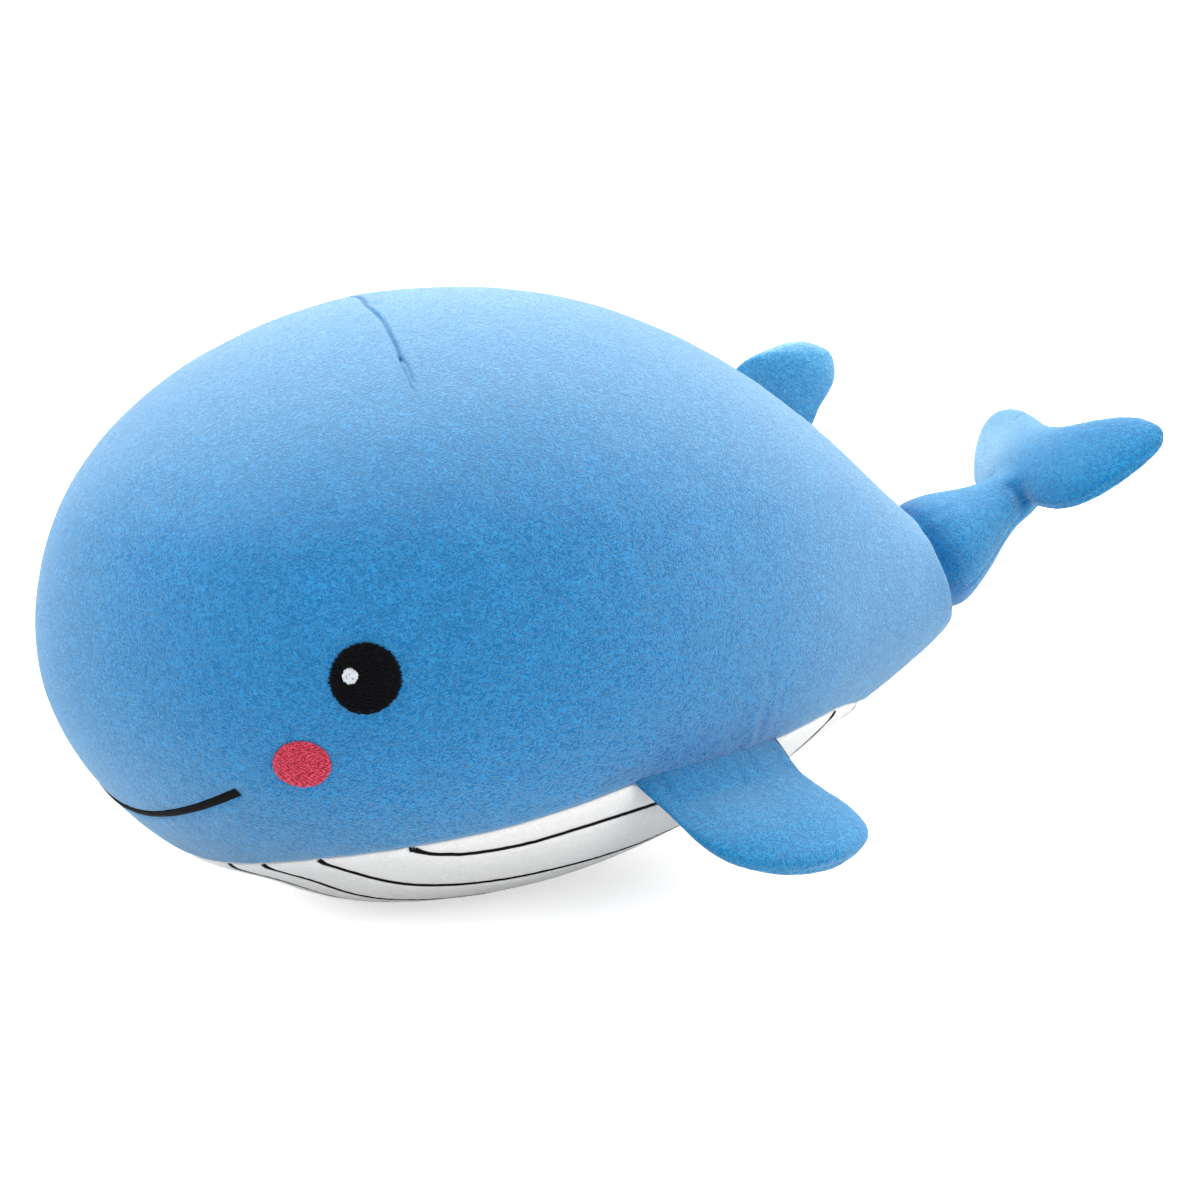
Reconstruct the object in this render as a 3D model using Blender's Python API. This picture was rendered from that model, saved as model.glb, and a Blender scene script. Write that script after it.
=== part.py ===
"""A stuffed toy whale that rests on its belly, with its head toward -X and its left side toward -Y.

Two body skins close over a fibre filling. Two flippers, a back fin and a tail, each made of two
skins over a filling, are sewn on at springy roots. The face and the belly lines are raised stitching.
"""

from math import acos, asin, cos, pi, radians, sin

import bmesh
import bpy
import numpy as np
from mathutils import Matrix, Vector

MM = 0.001

# Cloth, thread and the gap that touching pieces keep
SKIN_THICKNESS = 1.2 * MM
THREAD_HEIGHT = 0.9 * MM
GAP = 0.3 * MM

# Body: lengths along X are measured back from the snout, heights from the snout's axis
BODY_LENGTH = 410 * MM
CROWN_HEIGHT = 130 * MM
BELLY_DEPTH = 96 * MM
AXIS_DROP = 18 * MM
PLUMPNESS_SHARE = 1.038
CROWN_SHARES = (1.26, 1.17, 1.09, 1.01, 0.80, 0.50, 0.40)
BELLY_SHARES = (1.28, 1.29, 1.205, 1.00, 0.73, 0.62, 0.66)
REST_FLAT_DEPTH = 0.5 * MM

# Belly panel, as its outline is seen from below
PANEL_FRONT = 50 * MM
PANEL_LENGTH = 300 * MM
PANEL_HALF_WIDTH = 111 * MM
PANEL_SHARES = (1.27, 1.21, 1.06, 0.99, 0.88, 0.84, 0.75)
PANEL_WIDEST_SHARE = 0.4

# Raised stitching of the face
EYE_FROM_SNOUT = 74.5 * MM
EYE_ABOVE_AXIS = 6 * MM
EYE_DIAMETER = 26 * MM
GLINT_DIAMETER = 6 * MM
GLINT_FORWARD_SHARE = 0.42
GLINT_UP_SHARE = 0.10
CHEEK_FROM_SNOUT = 55.5 * MM
CHEEK_BELOW_AXIS = 26 * MM
CHEEK_LENGTH = 22 * MM
CHEEK_HEIGHT = 19 * MM
MOUTH_HALF_WIDTH = 71.5 * MM
MOUTH_BELOW_AXIS = 59.5 * MM
MOUTH_CORNER_RISE = 19.5 * MM
MOUTH_THREAD_WIDTH = 3 * MM

# Stitched lines of the belly, outermost last, each a share of the panel's half width from the middle
BELLY_LINE_SHARES = (0.26, 0.42, 0.62, 0.82)
BELLY_LINE_DIPS = (0 * MM, 0 * MM, 13 * MM, 0 * MM)
BELLY_LINE_BOW = 15 * MM
BELLY_LINE_WIDTH = 3 * MM
BELLY_LINE_SIDE_MARGIN = 2 * MM
BELLY_LINE_END_MARGIN = 3 * MM

# Flippers: the root lies in the seam between back and belly
FLIPPER_FROM_SNOUT = 185 * MM
FLIPPER_ROOT = 73.5 * MM
FLIPPER_SPAN = 55 * MM
FLIPPER_SWEEP = 17 * MM
FLIPPER_THICKNESS = 17 * MM
FLIPPER_DROOP = radians(35)
FLIPPER_CHORD_SHARES = (1.00, 1.21, 1.61, 1.87)
FLIPPER_SWEEP_SHARES = (0.00, 0.28, 0.84, 1.00)

# Back fin: the root lies on the middle of the back
FIN_FROM_SNOUT = 298 * MM
FIN_ROOT = 45.5 * MM
FIN_ROOT_SLOPE = radians(33)
FIN_SPAN = 28 * MM
FIN_SWEEP = 9 * MM
FIN_THICKNESS = 18 * MM
FIN_CHORD_SHARES = (1.00, 0.90, 0.87, 0.76)
FIN_SWEEP_SHARES = (0.00, 0.43, 0.78, 1.00)

# What flippers and fin have in common where they are sewn on
ROOT_THICKNESS = 5 * MM
FULLNESS_SHARES = (0.20, 0.80, 1.15, 1.25)

# Tail: a round root that turns in a hollow of the body's end, a stem and two flukes
TAIL_PIVOT_INSET = 13 * MM
TAIL_PIVOT_RISE = 12.2 * MM
TAIL_ROOT_RADIUS = 25 * MM
TAIL_SOCKET_GAP = 0.8 * MM
TAIL_SOCKET_LIP = 4.5 * MM
TAIL_SOCKET_REACH = 46 * MM
STEM_TILT = radians(26.5)
STEM_LENGTH = 49.5 * MM
WAIST_HALF_WIDTH = 12.5 * MM
WAIST_HALF_THICKNESS = 11.8 * MM
STEM_TIP_LENGTH = 20 * MM
FLUKE_HALF_SPAN = 58.8 * MM
FLUKE_CENTRE_FROM_WAIST = 18.3 * MM
FLUKE_SWEEP = 28 * MM
FLUKE_SWEEP_TILT = radians(25)
FLUKE_CHORD = 49 * MM
FLUKE_CHORD_TILT = radians(47.5)
FLUKE_THICKNESS = 20 * MM
FLUKE_CHORD_SHARES = (0.77, 1.10, 1.36, 1.34)
FLUKE_SWEEP_SHARES = (0.00, 0.19, 0.64, 1.00)
FLUKE_FULLNESS_SHARES = (0.95, 1.00, 1.05, 1.10)

# How finely the forms are divided
BODY_RINGS, BODY_SEGMENTS = 24, 28
LIMB_RINGS, LIMB_SEGMENTS = 8, 16
TAIL_ROOT_RINGS, STEM_RINGS, STEM_SEGMENTS = 6, 4, 24
FLUKE_RINGS = 12
PANEL_STEPS = 22
LINE_STEPS, MOUTH_STEPS = 18, 24
PAD_SEGMENTS = 16
PAD_RING_SHARES = (0.5, 1.0)
BISECTIONS = 40
STANDOFF_SPOTS = 9
NORMAL_STEP = 0.001

LEFT, RIGHT = -1, 1


def share_at(shares, place):
    """The value at place, 0 to 1, of the smooth curve through evenly spaced shares, level at both ends."""
    orders = np.arange(len(shares))
    table = np.cos(np.outer(orders, orders) * pi / (len(shares) - 1))
    return float(np.linalg.solve(table, shares) @ np.cos(orders * pi * place))


# The body's form


def body_section(turn):
    """The section at turn, 0 at the snout to pi at the end: x, axis height, rise, depth and half width."""
    x = -BODY_LENGTH / 2 * cos(turn)
    axis = -AXIS_DROP * (x + BODY_LENGTH / 2) / BODY_LENGTH
    above = CROWN_HEIGHT * sin(turn) * share_at(CROWN_SHARES, turn / pi)
    below = BELLY_DEPTH * sin(turn) * share_at(BELLY_SHARES, turn / pi)
    half_width = PLUMPNESS_SHARE * (above + below) / 2
    return x, axis, above, below, half_width


def body_point(turn, lean):
    """A point of the body's surface; lean is 0 on the left side, a quarter turn up on the back."""
    x, axis, above, below, half_width = body_section(turn)
    height = above if sin(lean) > 0 else below
    return Vector((x, -half_width * cos(lean), axis + height * sin(lean)))


def body_normal(turn, lean):
    """The outward direction at a point of the body's surface, measured over a small step each way."""
    along = body_point(turn + NORMAL_STEP, lean) - body_point(turn - NORMAL_STEP, lean)
    round_it = body_point(turn, lean + NORMAL_STEP) - body_point(turn, lean - NORMAL_STEP)
    return along.cross(round_it).normalized()


def turn_of(x):
    return acos(max(-1.0, min(1.0, -2 * x / BODY_LENGTH)))


def side_place(x, z, side):
    """The turn and lean of the surface point at x and z, on the left or the right side."""
    turn = turn_of(x)
    _, axis, above, below, _ = body_section(turn)
    rise = (z - axis) / (above if z > axis else below)
    lean = asin(max(-1.0, min(1.0, rise)))
    return turn, lean if side == LEFT else pi - lean


def under_place(x, y):
    """The turn and lean of the surface point at x and y, on the underside."""
    turn = turn_of(x)
    half_width = body_section(turn)[4]
    return turn, -acos(max(-1.0, min(1.0, -y / half_width)))


def front_place(y, z):
    """The turn and lean of the surface point at y and z, on the front of the head."""
    low, high = 0.0, pi / 2
    for _ in range(BISECTIONS):
        turn = (low + high) / 2
        _, axis, above, below, half_width = body_section(turn)
        height = above if z > axis else below
        outside = (y / half_width) ** 2 + ((z - axis) / height) ** 2 > 1
        low, high = (turn, high) if outside else (low, turn)
    rise = (z - axis) / height
    return turn, np.arctan2(rise, -y / half_width)


def lifted(place, out):
    return body_point(*place) + out * body_normal(*place)


def body_loops(inset):
    """Rings of points over the whole body, each moved in by inset, with the two ends as single points."""
    turns = [pi * i / BODY_RINGS for i in range(1, BODY_RINGS)]
    leans = [2 * pi * j / BODY_SEGMENTS for j in range(BODY_SEGMENTS)]
    loops = [[lifted((turn, lean), -inset) for lean in leans] for turn in turns]
    nose = body_point(0.0, 0.0) + Vector((inset, 0, 0))
    end = body_point(pi, 0.0) - Vector((inset, 0, 0))
    return [[nose], *loops, [end]]


SNOUT_X = -BODY_LENGTH / 2
BODY_LOWEST = min(point.z for loop in body_loops(0.0) for point in loop)
REST_HEIGHT = BODY_LOWEST + REST_FLAT_DEPTH


# The belly panel's outline


def panel_width_share(turn):
    return sin(turn) * share_at(PANEL_SHARES, turn / pi)


def panel_half_width(x):
    share = (x - SNOUT_X - PANEL_FRONT) / PANEL_LENGTH
    turn = acos(max(-1.0, min(1.0, 1 - 2 * share)))
    return PANEL_HALF_WIDTH * panel_width_share(turn)


def panel_outline(inset):
    """The panel's outline seen from below, drawn in by inset."""
    turns = [pi * i / PANEL_STEPS for i in range(PANEL_STEPS + 1)]
    half_length, half_width = PANEL_LENGTH / 2 - inset, PANEL_HALF_WIDTH - inset
    middle = SNOUT_X + PANEL_FRONT + PANEL_LENGTH / 2
    left = [(middle - half_length * cos(t), -half_width * panel_width_share(t)) for t in turns]
    right = [(x, -y) for x, y in reversed(left[1:-1])]
    return left + right


def seam_point(x, side):
    """The point at x of the seam between back and belly skins."""
    return body_point(*under_place(x, side * panel_half_width(x)))


def panel_x_at(half_width, front, back):
    """Where the panel's outline, between front and back, has this half width."""
    rising = panel_half_width(back) > panel_half_width(front)
    for _ in range(BISECTIONS):
        middle = (front + back) / 2
        if (panel_half_width(middle) < half_width) == rising:
            front = middle
        else:
            back = middle
    return front


# Making meshes and objects


def new_object(name, mesh, material=None):
    mesh.shade_smooth()
    obj = bpy.data.objects.new(name, mesh)
    bpy.context.scene.collection.objects.link(obj)
    if material:
        mesh.materials.append(material)
        mesh.set_sharp_from_angle(angle=radians(50))
    return obj


def bridge(work, lower, upper):
    """Triangles between two neighbouring loops of vertices, either of which may be a single point."""
    count = max(len(lower), len(upper))
    for j in range(count):
        near, far = j, (j + 1) % count
        if len(lower) > 1:
            work.faces.new([lower[near], lower[far], upper[near % len(upper)]])
        if len(upper) > 1:
            work.faces.new([lower[far % len(lower)], upper[far], upper[near]])


def add_closed_form(work, loops, hollow=False):
    """Adds a closed surface through the loops to work, facing out, or facing in round a hollow."""
    rows = [[work.verts.new(point) for point in loop] for loop in loops]
    first = len(work.faces)
    for lower, upper in zip(rows, rows[1:]):
        bridge(work, lower, upper)
    work.faces.ensure_lookup_table()
    faces = work.faces[first:]
    bmesh.ops.recalc_face_normals(work, faces=faces)
    if hollow:
        bmesh.ops.reverse_faces(work, faces=faces)


def form_mesh(name, *surfaces):
    """A mesh of closed surfaces: the first is the outside, any further one bounds a hollow inside it."""
    work = bmesh.new()
    for index, loops in enumerate(surfaces):
        add_closed_form(work, loops, hollow=index > 0)
    mesh = bpy.data.meshes.new(name)
    work.to_mesh(mesh)
    work.free()
    return mesh


def capped_mesh(name, loops):
    """A mesh through the loops, closed by a flat face at the first and the last."""
    work = bmesh.new()
    rows = [[work.verts.new(point) for point in loop] for loop in loops]
    for lower, upper in zip(rows, rows[1:]):
        bridge(work, lower, upper)
    work.faces.new(rows[0])
    work.faces.new(rows[-1])
    bmesh.ops.recalc_face_normals(work, faces=work.faces)
    mesh = bpy.data.meshes.new(name)
    work.to_mesh(mesh)
    work.free()
    return mesh


def prism_mesh(name, outline, low, high):
    """A flat outline in X and Y, carried from low to high."""
    return capped_mesh(name, [[Vector((x, y, z)) for x, y in outline] for z in (low, high)])


def guide(mesh, parent):
    """A cutter or former: it shapes other pieces and isn't one itself."""
    obj = new_object(mesh.name, mesh)
    obj.parent = parent
    obj.hide_render = True
    obj.display_type = "WIRE"
    return obj


def boolean(obj, operation, other):
    modifier = obj.modifiers.new(f"{operation.lower()} {other.name}", "BOOLEAN")
    modifier.operation = operation
    modifier.object = other


def piece(name, mesh, material, parent, *steps):
    obj = new_object(name, mesh, material)
    obj.parent = parent
    for operation, other in steps:
        boolean(obj, operation, other)
    return obj


def make_material(name, colour, roughness):
    material = bpy.data.materials.new(name)
    material.use_nodes = True
    shader = material.node_tree.nodes["Principled BSDF"]
    shader.inputs["Base Color"].default_value = (*colour, 1.0)
    shader.inputs["Roughness"].default_value = roughness
    shader.inputs["Metallic"].default_value = 0.0
    return material


def clear_scene():
    for obj in list(bpy.data.objects):
        bpy.data.objects.remove(obj)


def empty_at(name, matrix, parent=None):
    empty = bpy.data.objects.new(name, None)
    bpy.context.scene.collection.objects.link(empty)
    empty.parent = parent
    empty.matrix_local = matrix
    return empty


# Body pieces


def make_body(origin, materials, socket):
    outside = body_loops(0.0)
    hollow = body_loops(SKIN_THICKNESS)
    bottom, top = 2 * BODY_LOWEST, -AXIS_DROP / 2
    panel_hole = guide(prism_mesh("panel_hole", panel_outline(0.0), bottom, top), origin)
    panel_cut = guide(prism_mesh("panel_cut", panel_outline(GAP), bottom, top), origin)
    reach = BODY_LENGTH / 2
    square = [(-reach, -reach), (reach, -reach), (reach, reach), (-reach, reach)]
    rest_cut = guide(prism_mesh("rest_cut", square, bottom, REST_HEIGHT), origin)

    shell = form_mesh("back_skin", outside, hollow)
    piece("back_skin", shell, materials["blue"], origin, ("DIFFERENCE", panel_hole), ("DIFFERENCE", socket))
    shell = form_mesh("belly_skin", outside, hollow)
    piece("belly_skin", shell, materials["white"], origin, ("INTERSECT", panel_cut), ("DIFFERENCE", rest_cut))
    filling = form_mesh("body_filling", body_loops(SKIN_THICKNESS + GAP))
    piece("body_filling", filling, materials["fibre"], origin, ("DIFFERENCE", socket))


# Raised stitching


def pad_mesh(name, place_at, base):
    """A stitched round pad; place_at gives the surface place at a share of the radius and an angle."""
    angles = [2 * pi * j / PAD_SEGMENTS for j in range(PAD_SEGMENTS)]
    rings = [[place_at(share, angle) for angle in angles] for share in PAD_RING_SHARES]
    places = [[place_at(0.0, 0.0)], *rings]
    lower = [[lifted(place, base) for place in ring] for ring in places]
    upper = [[lifted(place, base + THREAD_HEIGHT) for place in ring] for ring in reversed(places)]
    return form_mesh(name, [*lower, *upper])


def side_pad(name, x, z, half_length, half_height, side, base):
    """A pad on the side of the head, its outline an ellipse in the plane that touches the head there."""
    turn, lean = side_place(x, z, side)
    normal = body_normal(turn, lean)
    level = Vector((0, 0, 1)).cross(normal).normalized()
    upward = normal.cross(level)
    centre = body_point(turn, lean)

    def place_at(radius_share, angle):
        spot = centre + radius_share * (half_length * cos(angle) * level + half_height * sin(angle) * upward)
        return side_place(spot.x, spot.z, side)

    return pad_mesh(name, place_at, base)


def ribbon_mesh(name, places, half_width):
    """A stitched line over the body through the places, square at both ends."""
    points = [body_point(*place) for place in places]
    normals = [body_normal(*place) for place in places]
    loops = []
    for i, (point, normal) in enumerate(zip(points, normals)):
        ahead = points[min(i + 1, len(points) - 1)] - points[max(i - 1, 0)]
        across = half_width * ahead.cross(normal).normalized()
        low, high = GAP * normal, (GAP + THREAD_HEIGHT) * normal
        left_edge, right_edge = point - across, point + across
        loops.append([left_edge + low, right_edge + low, right_edge + high, left_edge + high])
    return capped_mesh(name, loops)


def make_face(origin, materials):
    eye_x = SNOUT_X + EYE_FROM_SNOUT
    cheek_x = SNOUT_X + CHEEK_FROM_SNOUT
    eye_radius, glint_radius = EYE_DIAMETER / 2, GLINT_DIAMETER / 2
    glint_x = eye_x - GLINT_FORWARD_SHARE * eye_radius
    glint_z = EYE_ABOVE_AXIS + GLINT_UP_SHARE * eye_radius
    for word, side in (("left", LEFT), ("right", RIGHT)):
        eye = side_pad(f"{word}_eye", eye_x, EYE_ABOVE_AXIS, eye_radius, eye_radius, side, GAP)
        piece(eye.name, eye, materials["black"], origin)
        glint_base = 2 * GAP + THREAD_HEIGHT
        glint = side_pad(f"{word}_eye_glint", glint_x, glint_z, glint_radius, glint_radius, side, glint_base)
        piece(glint.name, glint, materials["glint"], origin)
        half_length, half_height = CHEEK_LENGTH / 2, CHEEK_HEIGHT / 2
        cheek = side_pad(f"{word}_cheek", cheek_x, -CHEEK_BELOW_AXIS, half_length, half_height, side, GAP)
        piece(cheek.name, cheek, materials["pink"], origin)
    make_mouth(origin, materials)


def make_mouth(origin, materials):
    places = []
    for i in range(MOUTH_STEPS + 1):
        share = 2 * i / MOUTH_STEPS - 1
        height = MOUTH_CORNER_RISE * share**2 - MOUTH_BELOW_AXIS
        places.append(front_place(share * MOUTH_HALF_WIDTH, height))
    mesh = ribbon_mesh("mouth", places, MOUTH_THREAD_WIDTH / 2)
    piece("mouth", mesh, materials["black"], origin)


def belly_line_places(share, dip, side):
    """The surface places of one belly line, from the panel's front edge to its rear edge."""
    from_middle = share * PANEL_HALF_WIDTH
    panel_start = SNOUT_X + PANEL_FRONT
    widest = panel_start + PANEL_LENGTH * PANEL_WIDEST_SHARE
    front = panel_x_at(from_middle, panel_start, widest) + BELLY_LINE_END_MARGIN
    back = panel_x_at(from_middle, widest, panel_start + PANEL_LENGTH) - BELLY_LINE_END_MARGIN
    places = []
    for i in range(LINE_STEPS + 1):
        along = (1 - cos(pi * i / LINE_STEPS)) / 2
        x = front + along * (back - front)
        bow = BELLY_LINE_BOW * share * sin(pi * along) ** 2 - dip * sin(pi * along ** 3) ** 2
        y = min(from_middle + bow, panel_half_width(x) - BELLY_LINE_SIDE_MARGIN)
        places.append(under_place(x, side * y))
    return places


def make_belly_lines(origin, materials):
    for word, side in (("left", LEFT), ("right", RIGHT)):
        for number, (share, dip) in enumerate(zip(BELLY_LINE_SHARES, BELLY_LINE_DIPS), start=1):
            name = f"{word}_belly_line_{number}"
            mesh = ribbon_mesh(name, belly_line_places(share, dip, side), BELLY_LINE_WIDTH / 2)
            piece(name, mesh, materials["black"], origin)


# Flippers and back fin: each is built round its own hinge line, X along the root, Z out to the tip


def fin_loops(root, span, sweep, thickness, chord_shares, sweep_shares, inset):
    """Rings of a fin from its rounded root edge to its tip, each moved in by inset."""
    root_half = ROOT_THICKNESS / 2 - inset
    loops = [[Vector((0, 0, -root_half))]]
    for i in range(LIMB_RINGS):
        turn = pi / 2 * i / LIMB_RINGS
        share = turn * 2 / pi
        half_chord = root / 2 * cos(turn) * share_at(chord_shares, share) - inset * (1 - share / 2)
        centre_x = sweep * share_at(sweep_shares, share)
        fullness = min(1.0, share_at(FULLNESS_SHARES, share)) * cos(turn) ** 0.5
        half_thick = max(root_half, thickness / 2 * fullness - inset)
        centre = Vector((centre_x, 0, (span - inset) * sin(turn)))
        loops.append(ellipse_loop(centre, Vector((half_chord, 0, 0)), Vector((0, half_thick, 0))))
    loops.append([Vector((sweep, 0, span - inset))])
    return loops


def ellipse_loop(centre, side, top, segments=LIMB_SEGMENTS):
    angles = [2 * pi * j / segments for j in range(segments)]
    return [centre + cos(a) * side + sin(a) * top for a in angles]


def make_fin(fin_name, sizes, hinge, materials, skin_sides):
    """Two skins and a filling round one hinge line; the skins part on the fin's middle plane.

    skin_sides says on which side of that plane, -1 or 1 along Y, each skin lies.
    """
    reach = 2 * sizes["span"] + sizes["root"]
    for skin, side in skin_sides.items():
        name = f"{fin_name}_{skin}_skin"
        near, far = side * GAP / 2, -side * reach
        outline = [(-reach, near), (reach, near), (reach, far), (-reach, far)]
        half_cut = guide(prism_mesh(f"{name}_cut", outline, -reach, reach), hinge)
        shell = form_mesh(name, fin_loops(**sizes, inset=0.0), fin_loops(**sizes, inset=SKIN_THICKNESS))
        piece(name, shell, materials["blue"], hinge, ("DIFFERENCE", half_cut))
    filling = form_mesh(f"{fin_name}_filling", fin_loops(**sizes, inset=SKIN_THICKNESS + GAP))
    piece(filling.name, filling, materials["fibre"], hinge)


def hinge_matrix(along, outward, place):
    """A frame with X along the root line and Z outward, both made square to each other."""
    x_axis = along.normalized()
    z_axis = (outward - outward.dot(x_axis) * x_axis).normalized()
    y_axis = z_axis.cross(x_axis)
    rotation = Matrix((x_axis, y_axis, z_axis)).transposed()
    return Matrix.Translation(place) @ rotation.to_4x4()


def standoff(start, end, outward, surface):
    """How far out a straight root line must lie to clear the curved body all along."""
    bulge = 0.0
    for i in range(STANDOFF_SPOTS):
        share = i / (STANDOFF_SPOTS - 1)
        spot = surface(start.x + share * (end.x - start.x))
        chord = start.lerp(end, share)
        bulge = max(bulge, (spot - chord).dot(outward))
    return bulge + ROOT_THICKNESS / 2 + GAP


def flipper_hinge(side):
    front_x = SNOUT_X + FLIPPER_FROM_SNOUT
    start, end = seam_point(front_x, side), seam_point(front_x + FLIPPER_ROOT, side)
    along = end - start
    level = Vector((-side * along.y, side * along.x, 0)).normalized()
    outward = cos(FLIPPER_DROOP) * level - Vector((0, 0, sin(FLIPPER_DROOP)))
    clear = standoff(start, end, outward, lambda x: seam_point(x, side))
    return hinge_matrix(along, outward, (start + end) / 2 + clear * outward)


def back_point(x):
    return body_point(turn_of(x), pi / 2)


def fin_hinge():
    front_x = SNOUT_X + FIN_FROM_SNOUT
    start = back_point(front_x)
    end = back_point(front_x + FIN_ROOT * cos(FIN_ROOT_SLOPE))
    along = end - start
    outward = Vector((-along.z, 0, along.x)).normalized()
    clear = standoff(start, end, outward, back_point)
    return hinge_matrix(along, outward, (start + end) / 2 + clear * outward)


def make_flippers(origin, materials):
    sizes = {
        "root": FLIPPER_ROOT,
        "span": FLIPPER_SPAN,
        "sweep": FLIPPER_SWEEP,
        "thickness": FLIPPER_THICKNESS,
        "chord_shares": FLIPPER_CHORD_SHARES,
        "sweep_shares": FLIPPER_SWEEP_SHARES,
    }
    for word, side in (("left", LEFT), ("right", RIGHT)):
        hinge = empty_at(f"{word}_flipper_hinge", flipper_hinge(side), origin)
        make_fin(f"{word}_flipper", sizes, hinge, materials, {"top": -side, "under": side})


def make_back_fin(origin, materials):
    sizes = {
        "root": FIN_ROOT,
        "span": FIN_SPAN,
        "sweep": FIN_SWEEP,
        "thickness": FIN_THICKNESS,
        "chord_shares": FIN_CHORD_SHARES,
        "sweep_shares": FIN_SWEEP_SHARES,
    }
    hinge = empty_at("back_fin_hinge", fin_hinge(), origin)
    make_fin("back_fin", sizes, hinge, materials, {"left": RIGHT, "right": LEFT})


# Tail: built round its pivot, Z out along the stem, Y across the body, X down and forward


def tail_pivot():
    return Vector((BODY_LENGTH / 2 - TAIL_PIVOT_INSET, 0, -AXIS_DROP + TAIL_PIVOT_RISE))


def tail_matrix():
    outward = Vector((cos(STEM_TILT), 0, sin(STEM_TILT)))
    level = Vector((sin(STEM_TILT), 0, -cos(STEM_TILT)))
    return hinge_matrix(level, outward, tail_pivot())


def stem_loop(z, half_thick, half_width):
    across, wide = Vector((half_thick, 0, 0)), Vector((0, half_width, 0))
    return ellipse_loop(Vector((0, 0, z)), across, wide, STEM_SEGMENTS)


def round_loop(radius, z):
    return stem_loop(z, radius, radius)


def socket_loops():
    """The hollow that the tail's round root turns in, opening outward past its lip."""
    radius = TAIL_ROOT_RADIUS + TAIL_SOCKET_GAP
    lip_turn = acos(TAIL_SOCKET_LIP / radius)
    loops = [[Vector((0, 0, -radius))]]
    for i in range(1, TAIL_ROOT_RINGS + 1):
        turn = lip_turn * i / TAIL_ROOT_RINGS
        loops.append(round_loop(radius * sin(turn), -radius * cos(turn)))
    loops.append(round_loop(TAIL_SOCKET_REACH, -TAIL_SOCKET_LIP))
    loops.append(round_loop(TAIL_SOCKET_REACH, TAIL_SOCKET_REACH))
    loops.append([Vector((0, 0, TAIL_SOCKET_REACH))])
    return loops


def stem_loops(inset):
    """The round root, the stem narrowing to the waist, and a round end inside the flukes."""
    radius = TAIL_ROOT_RADIUS - inset
    loops = [[Vector((0, 0, -radius))]]
    for i in range(1, TAIL_ROOT_RINGS + 1):
        turn = pi / 2 * i / TAIL_ROOT_RINGS
        loops.append(round_loop(radius * sin(turn), -radius * cos(turn)))
    for i in range(1, STEM_RINGS + 1):
        share = i / STEM_RINGS
        ease = (1 - cos(pi * share)) / 2
        half_width = TAIL_ROOT_RADIUS + ease * (WAIST_HALF_WIDTH - TAIL_ROOT_RADIUS) - inset
        half_thick = TAIL_ROOT_RADIUS + ease * (WAIST_HALF_THICKNESS - TAIL_ROOT_RADIUS) - inset
        loops.append(stem_loop(STEM_LENGTH * share, half_thick, half_width))
    tip_length = STEM_TIP_LENGTH - inset
    half_thick, half_width = WAIST_HALF_THICKNESS - inset, WAIST_HALF_WIDTH - inset
    for turn in (pi / 6, pi / 3):
        z = STEM_LENGTH + tip_length * sin(turn)
        loops.append(stem_loop(z, half_thick * cos(turn), half_width * cos(turn)))
    loops.append([Vector((0, 0, STEM_LENGTH + tip_length))])
    return loops


def in_tail_frame(length, tilt):
    """A vector of this length in the body's middle plane, tilted up from level, in the tail's frame."""
    return Vector((-length * sin(tilt - STEM_TILT), 0, length * cos(tilt - STEM_TILT)))


def fluke_sweep(turn):
    """How far the flukes' middle line is swept back from the middle at turn, up to a quarter turn."""
    length = FLUKE_SWEEP * share_at(FLUKE_SWEEP_SHARES, abs(turn) * 2 / pi)
    return in_tail_frame(length, FLUKE_SWEEP_TILT)


def fluke_turns():
    return [pi * i / FLUKE_RINGS - pi / 2 for i in range(FLUKE_RINGS + 1)]


def fluke_loops(inset):
    """Rings from the left tip across to the right tip, swept back and level with each other."""
    middle = Vector((0, 0, STEM_LENGTH)) + in_tail_frame(FLUKE_CENTRE_FROM_WAIST, FLUKE_CHORD_TILT)
    chord_way = in_tail_frame(1, FLUKE_CHORD_TILT)
    thick_way = in_tail_frame(1, FLUKE_CHORD_TILT + pi / 2)
    loops = []
    for turn in fluke_turns():
        share = abs(turn) * 2 / pi
        centre = middle + fluke_sweep(turn) + Vector((0, (FLUKE_HALF_SPAN - inset) * sin(turn), 0))
        half_chord = FLUKE_CHORD / 2 * cos(turn) * share_at(FLUKE_CHORD_SHARES, share) - inset
        half_thick = FLUKE_THICKNESS / 2 * cos(turn) * share_at(FLUKE_FULLNESS_SHARES, share) - inset
        loops.append(ellipse_loop(centre, half_chord * chord_way, half_thick * thick_way))
    loops[0] = [middle + fluke_sweep(pi / 2) - Vector((0, FLUKE_HALF_SPAN - inset, 0))]
    loops[-1] = [middle + fluke_sweep(pi / 2) + Vector((0, FLUKE_HALF_SPAN - inset, 0))]
    return loops


def tail_half_cutter(name, towards):
    """The space above or below the surface through the stem's and the flukes' middle lines."""
    chord_way = in_tail_frame(1, FLUKE_CHORD_TILT)
    thick_way = in_tail_frame(1, FLUKE_CHORD_TILT + pi / 2)
    reach = 2 * FLUKE_HALF_SPAN
    stations = [(-reach, pi / 2), *((FLUKE_HALF_SPAN * sin(t), t) for t in fluke_turns()), (reach, pi / 2)]
    loops = []
    for y, turn in stations:
        drop = fluke_sweep(turn).dot(thick_way) * thick_way
        bend = Vector((0, y, STEM_LENGTH)) + drop
        start = Vector((drop.x, y, -2 * TAIL_ROOT_RADIUS))
        far = bend + reach * chord_way
        gap = Vector((towards * GAP / 2, 0, 0))
        away = Vector((-towards * reach, 0, 0))
        loops.append([start + gap, bend + gap, far + gap, far + away, start + away])
    return capped_mesh(name, loops)


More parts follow.
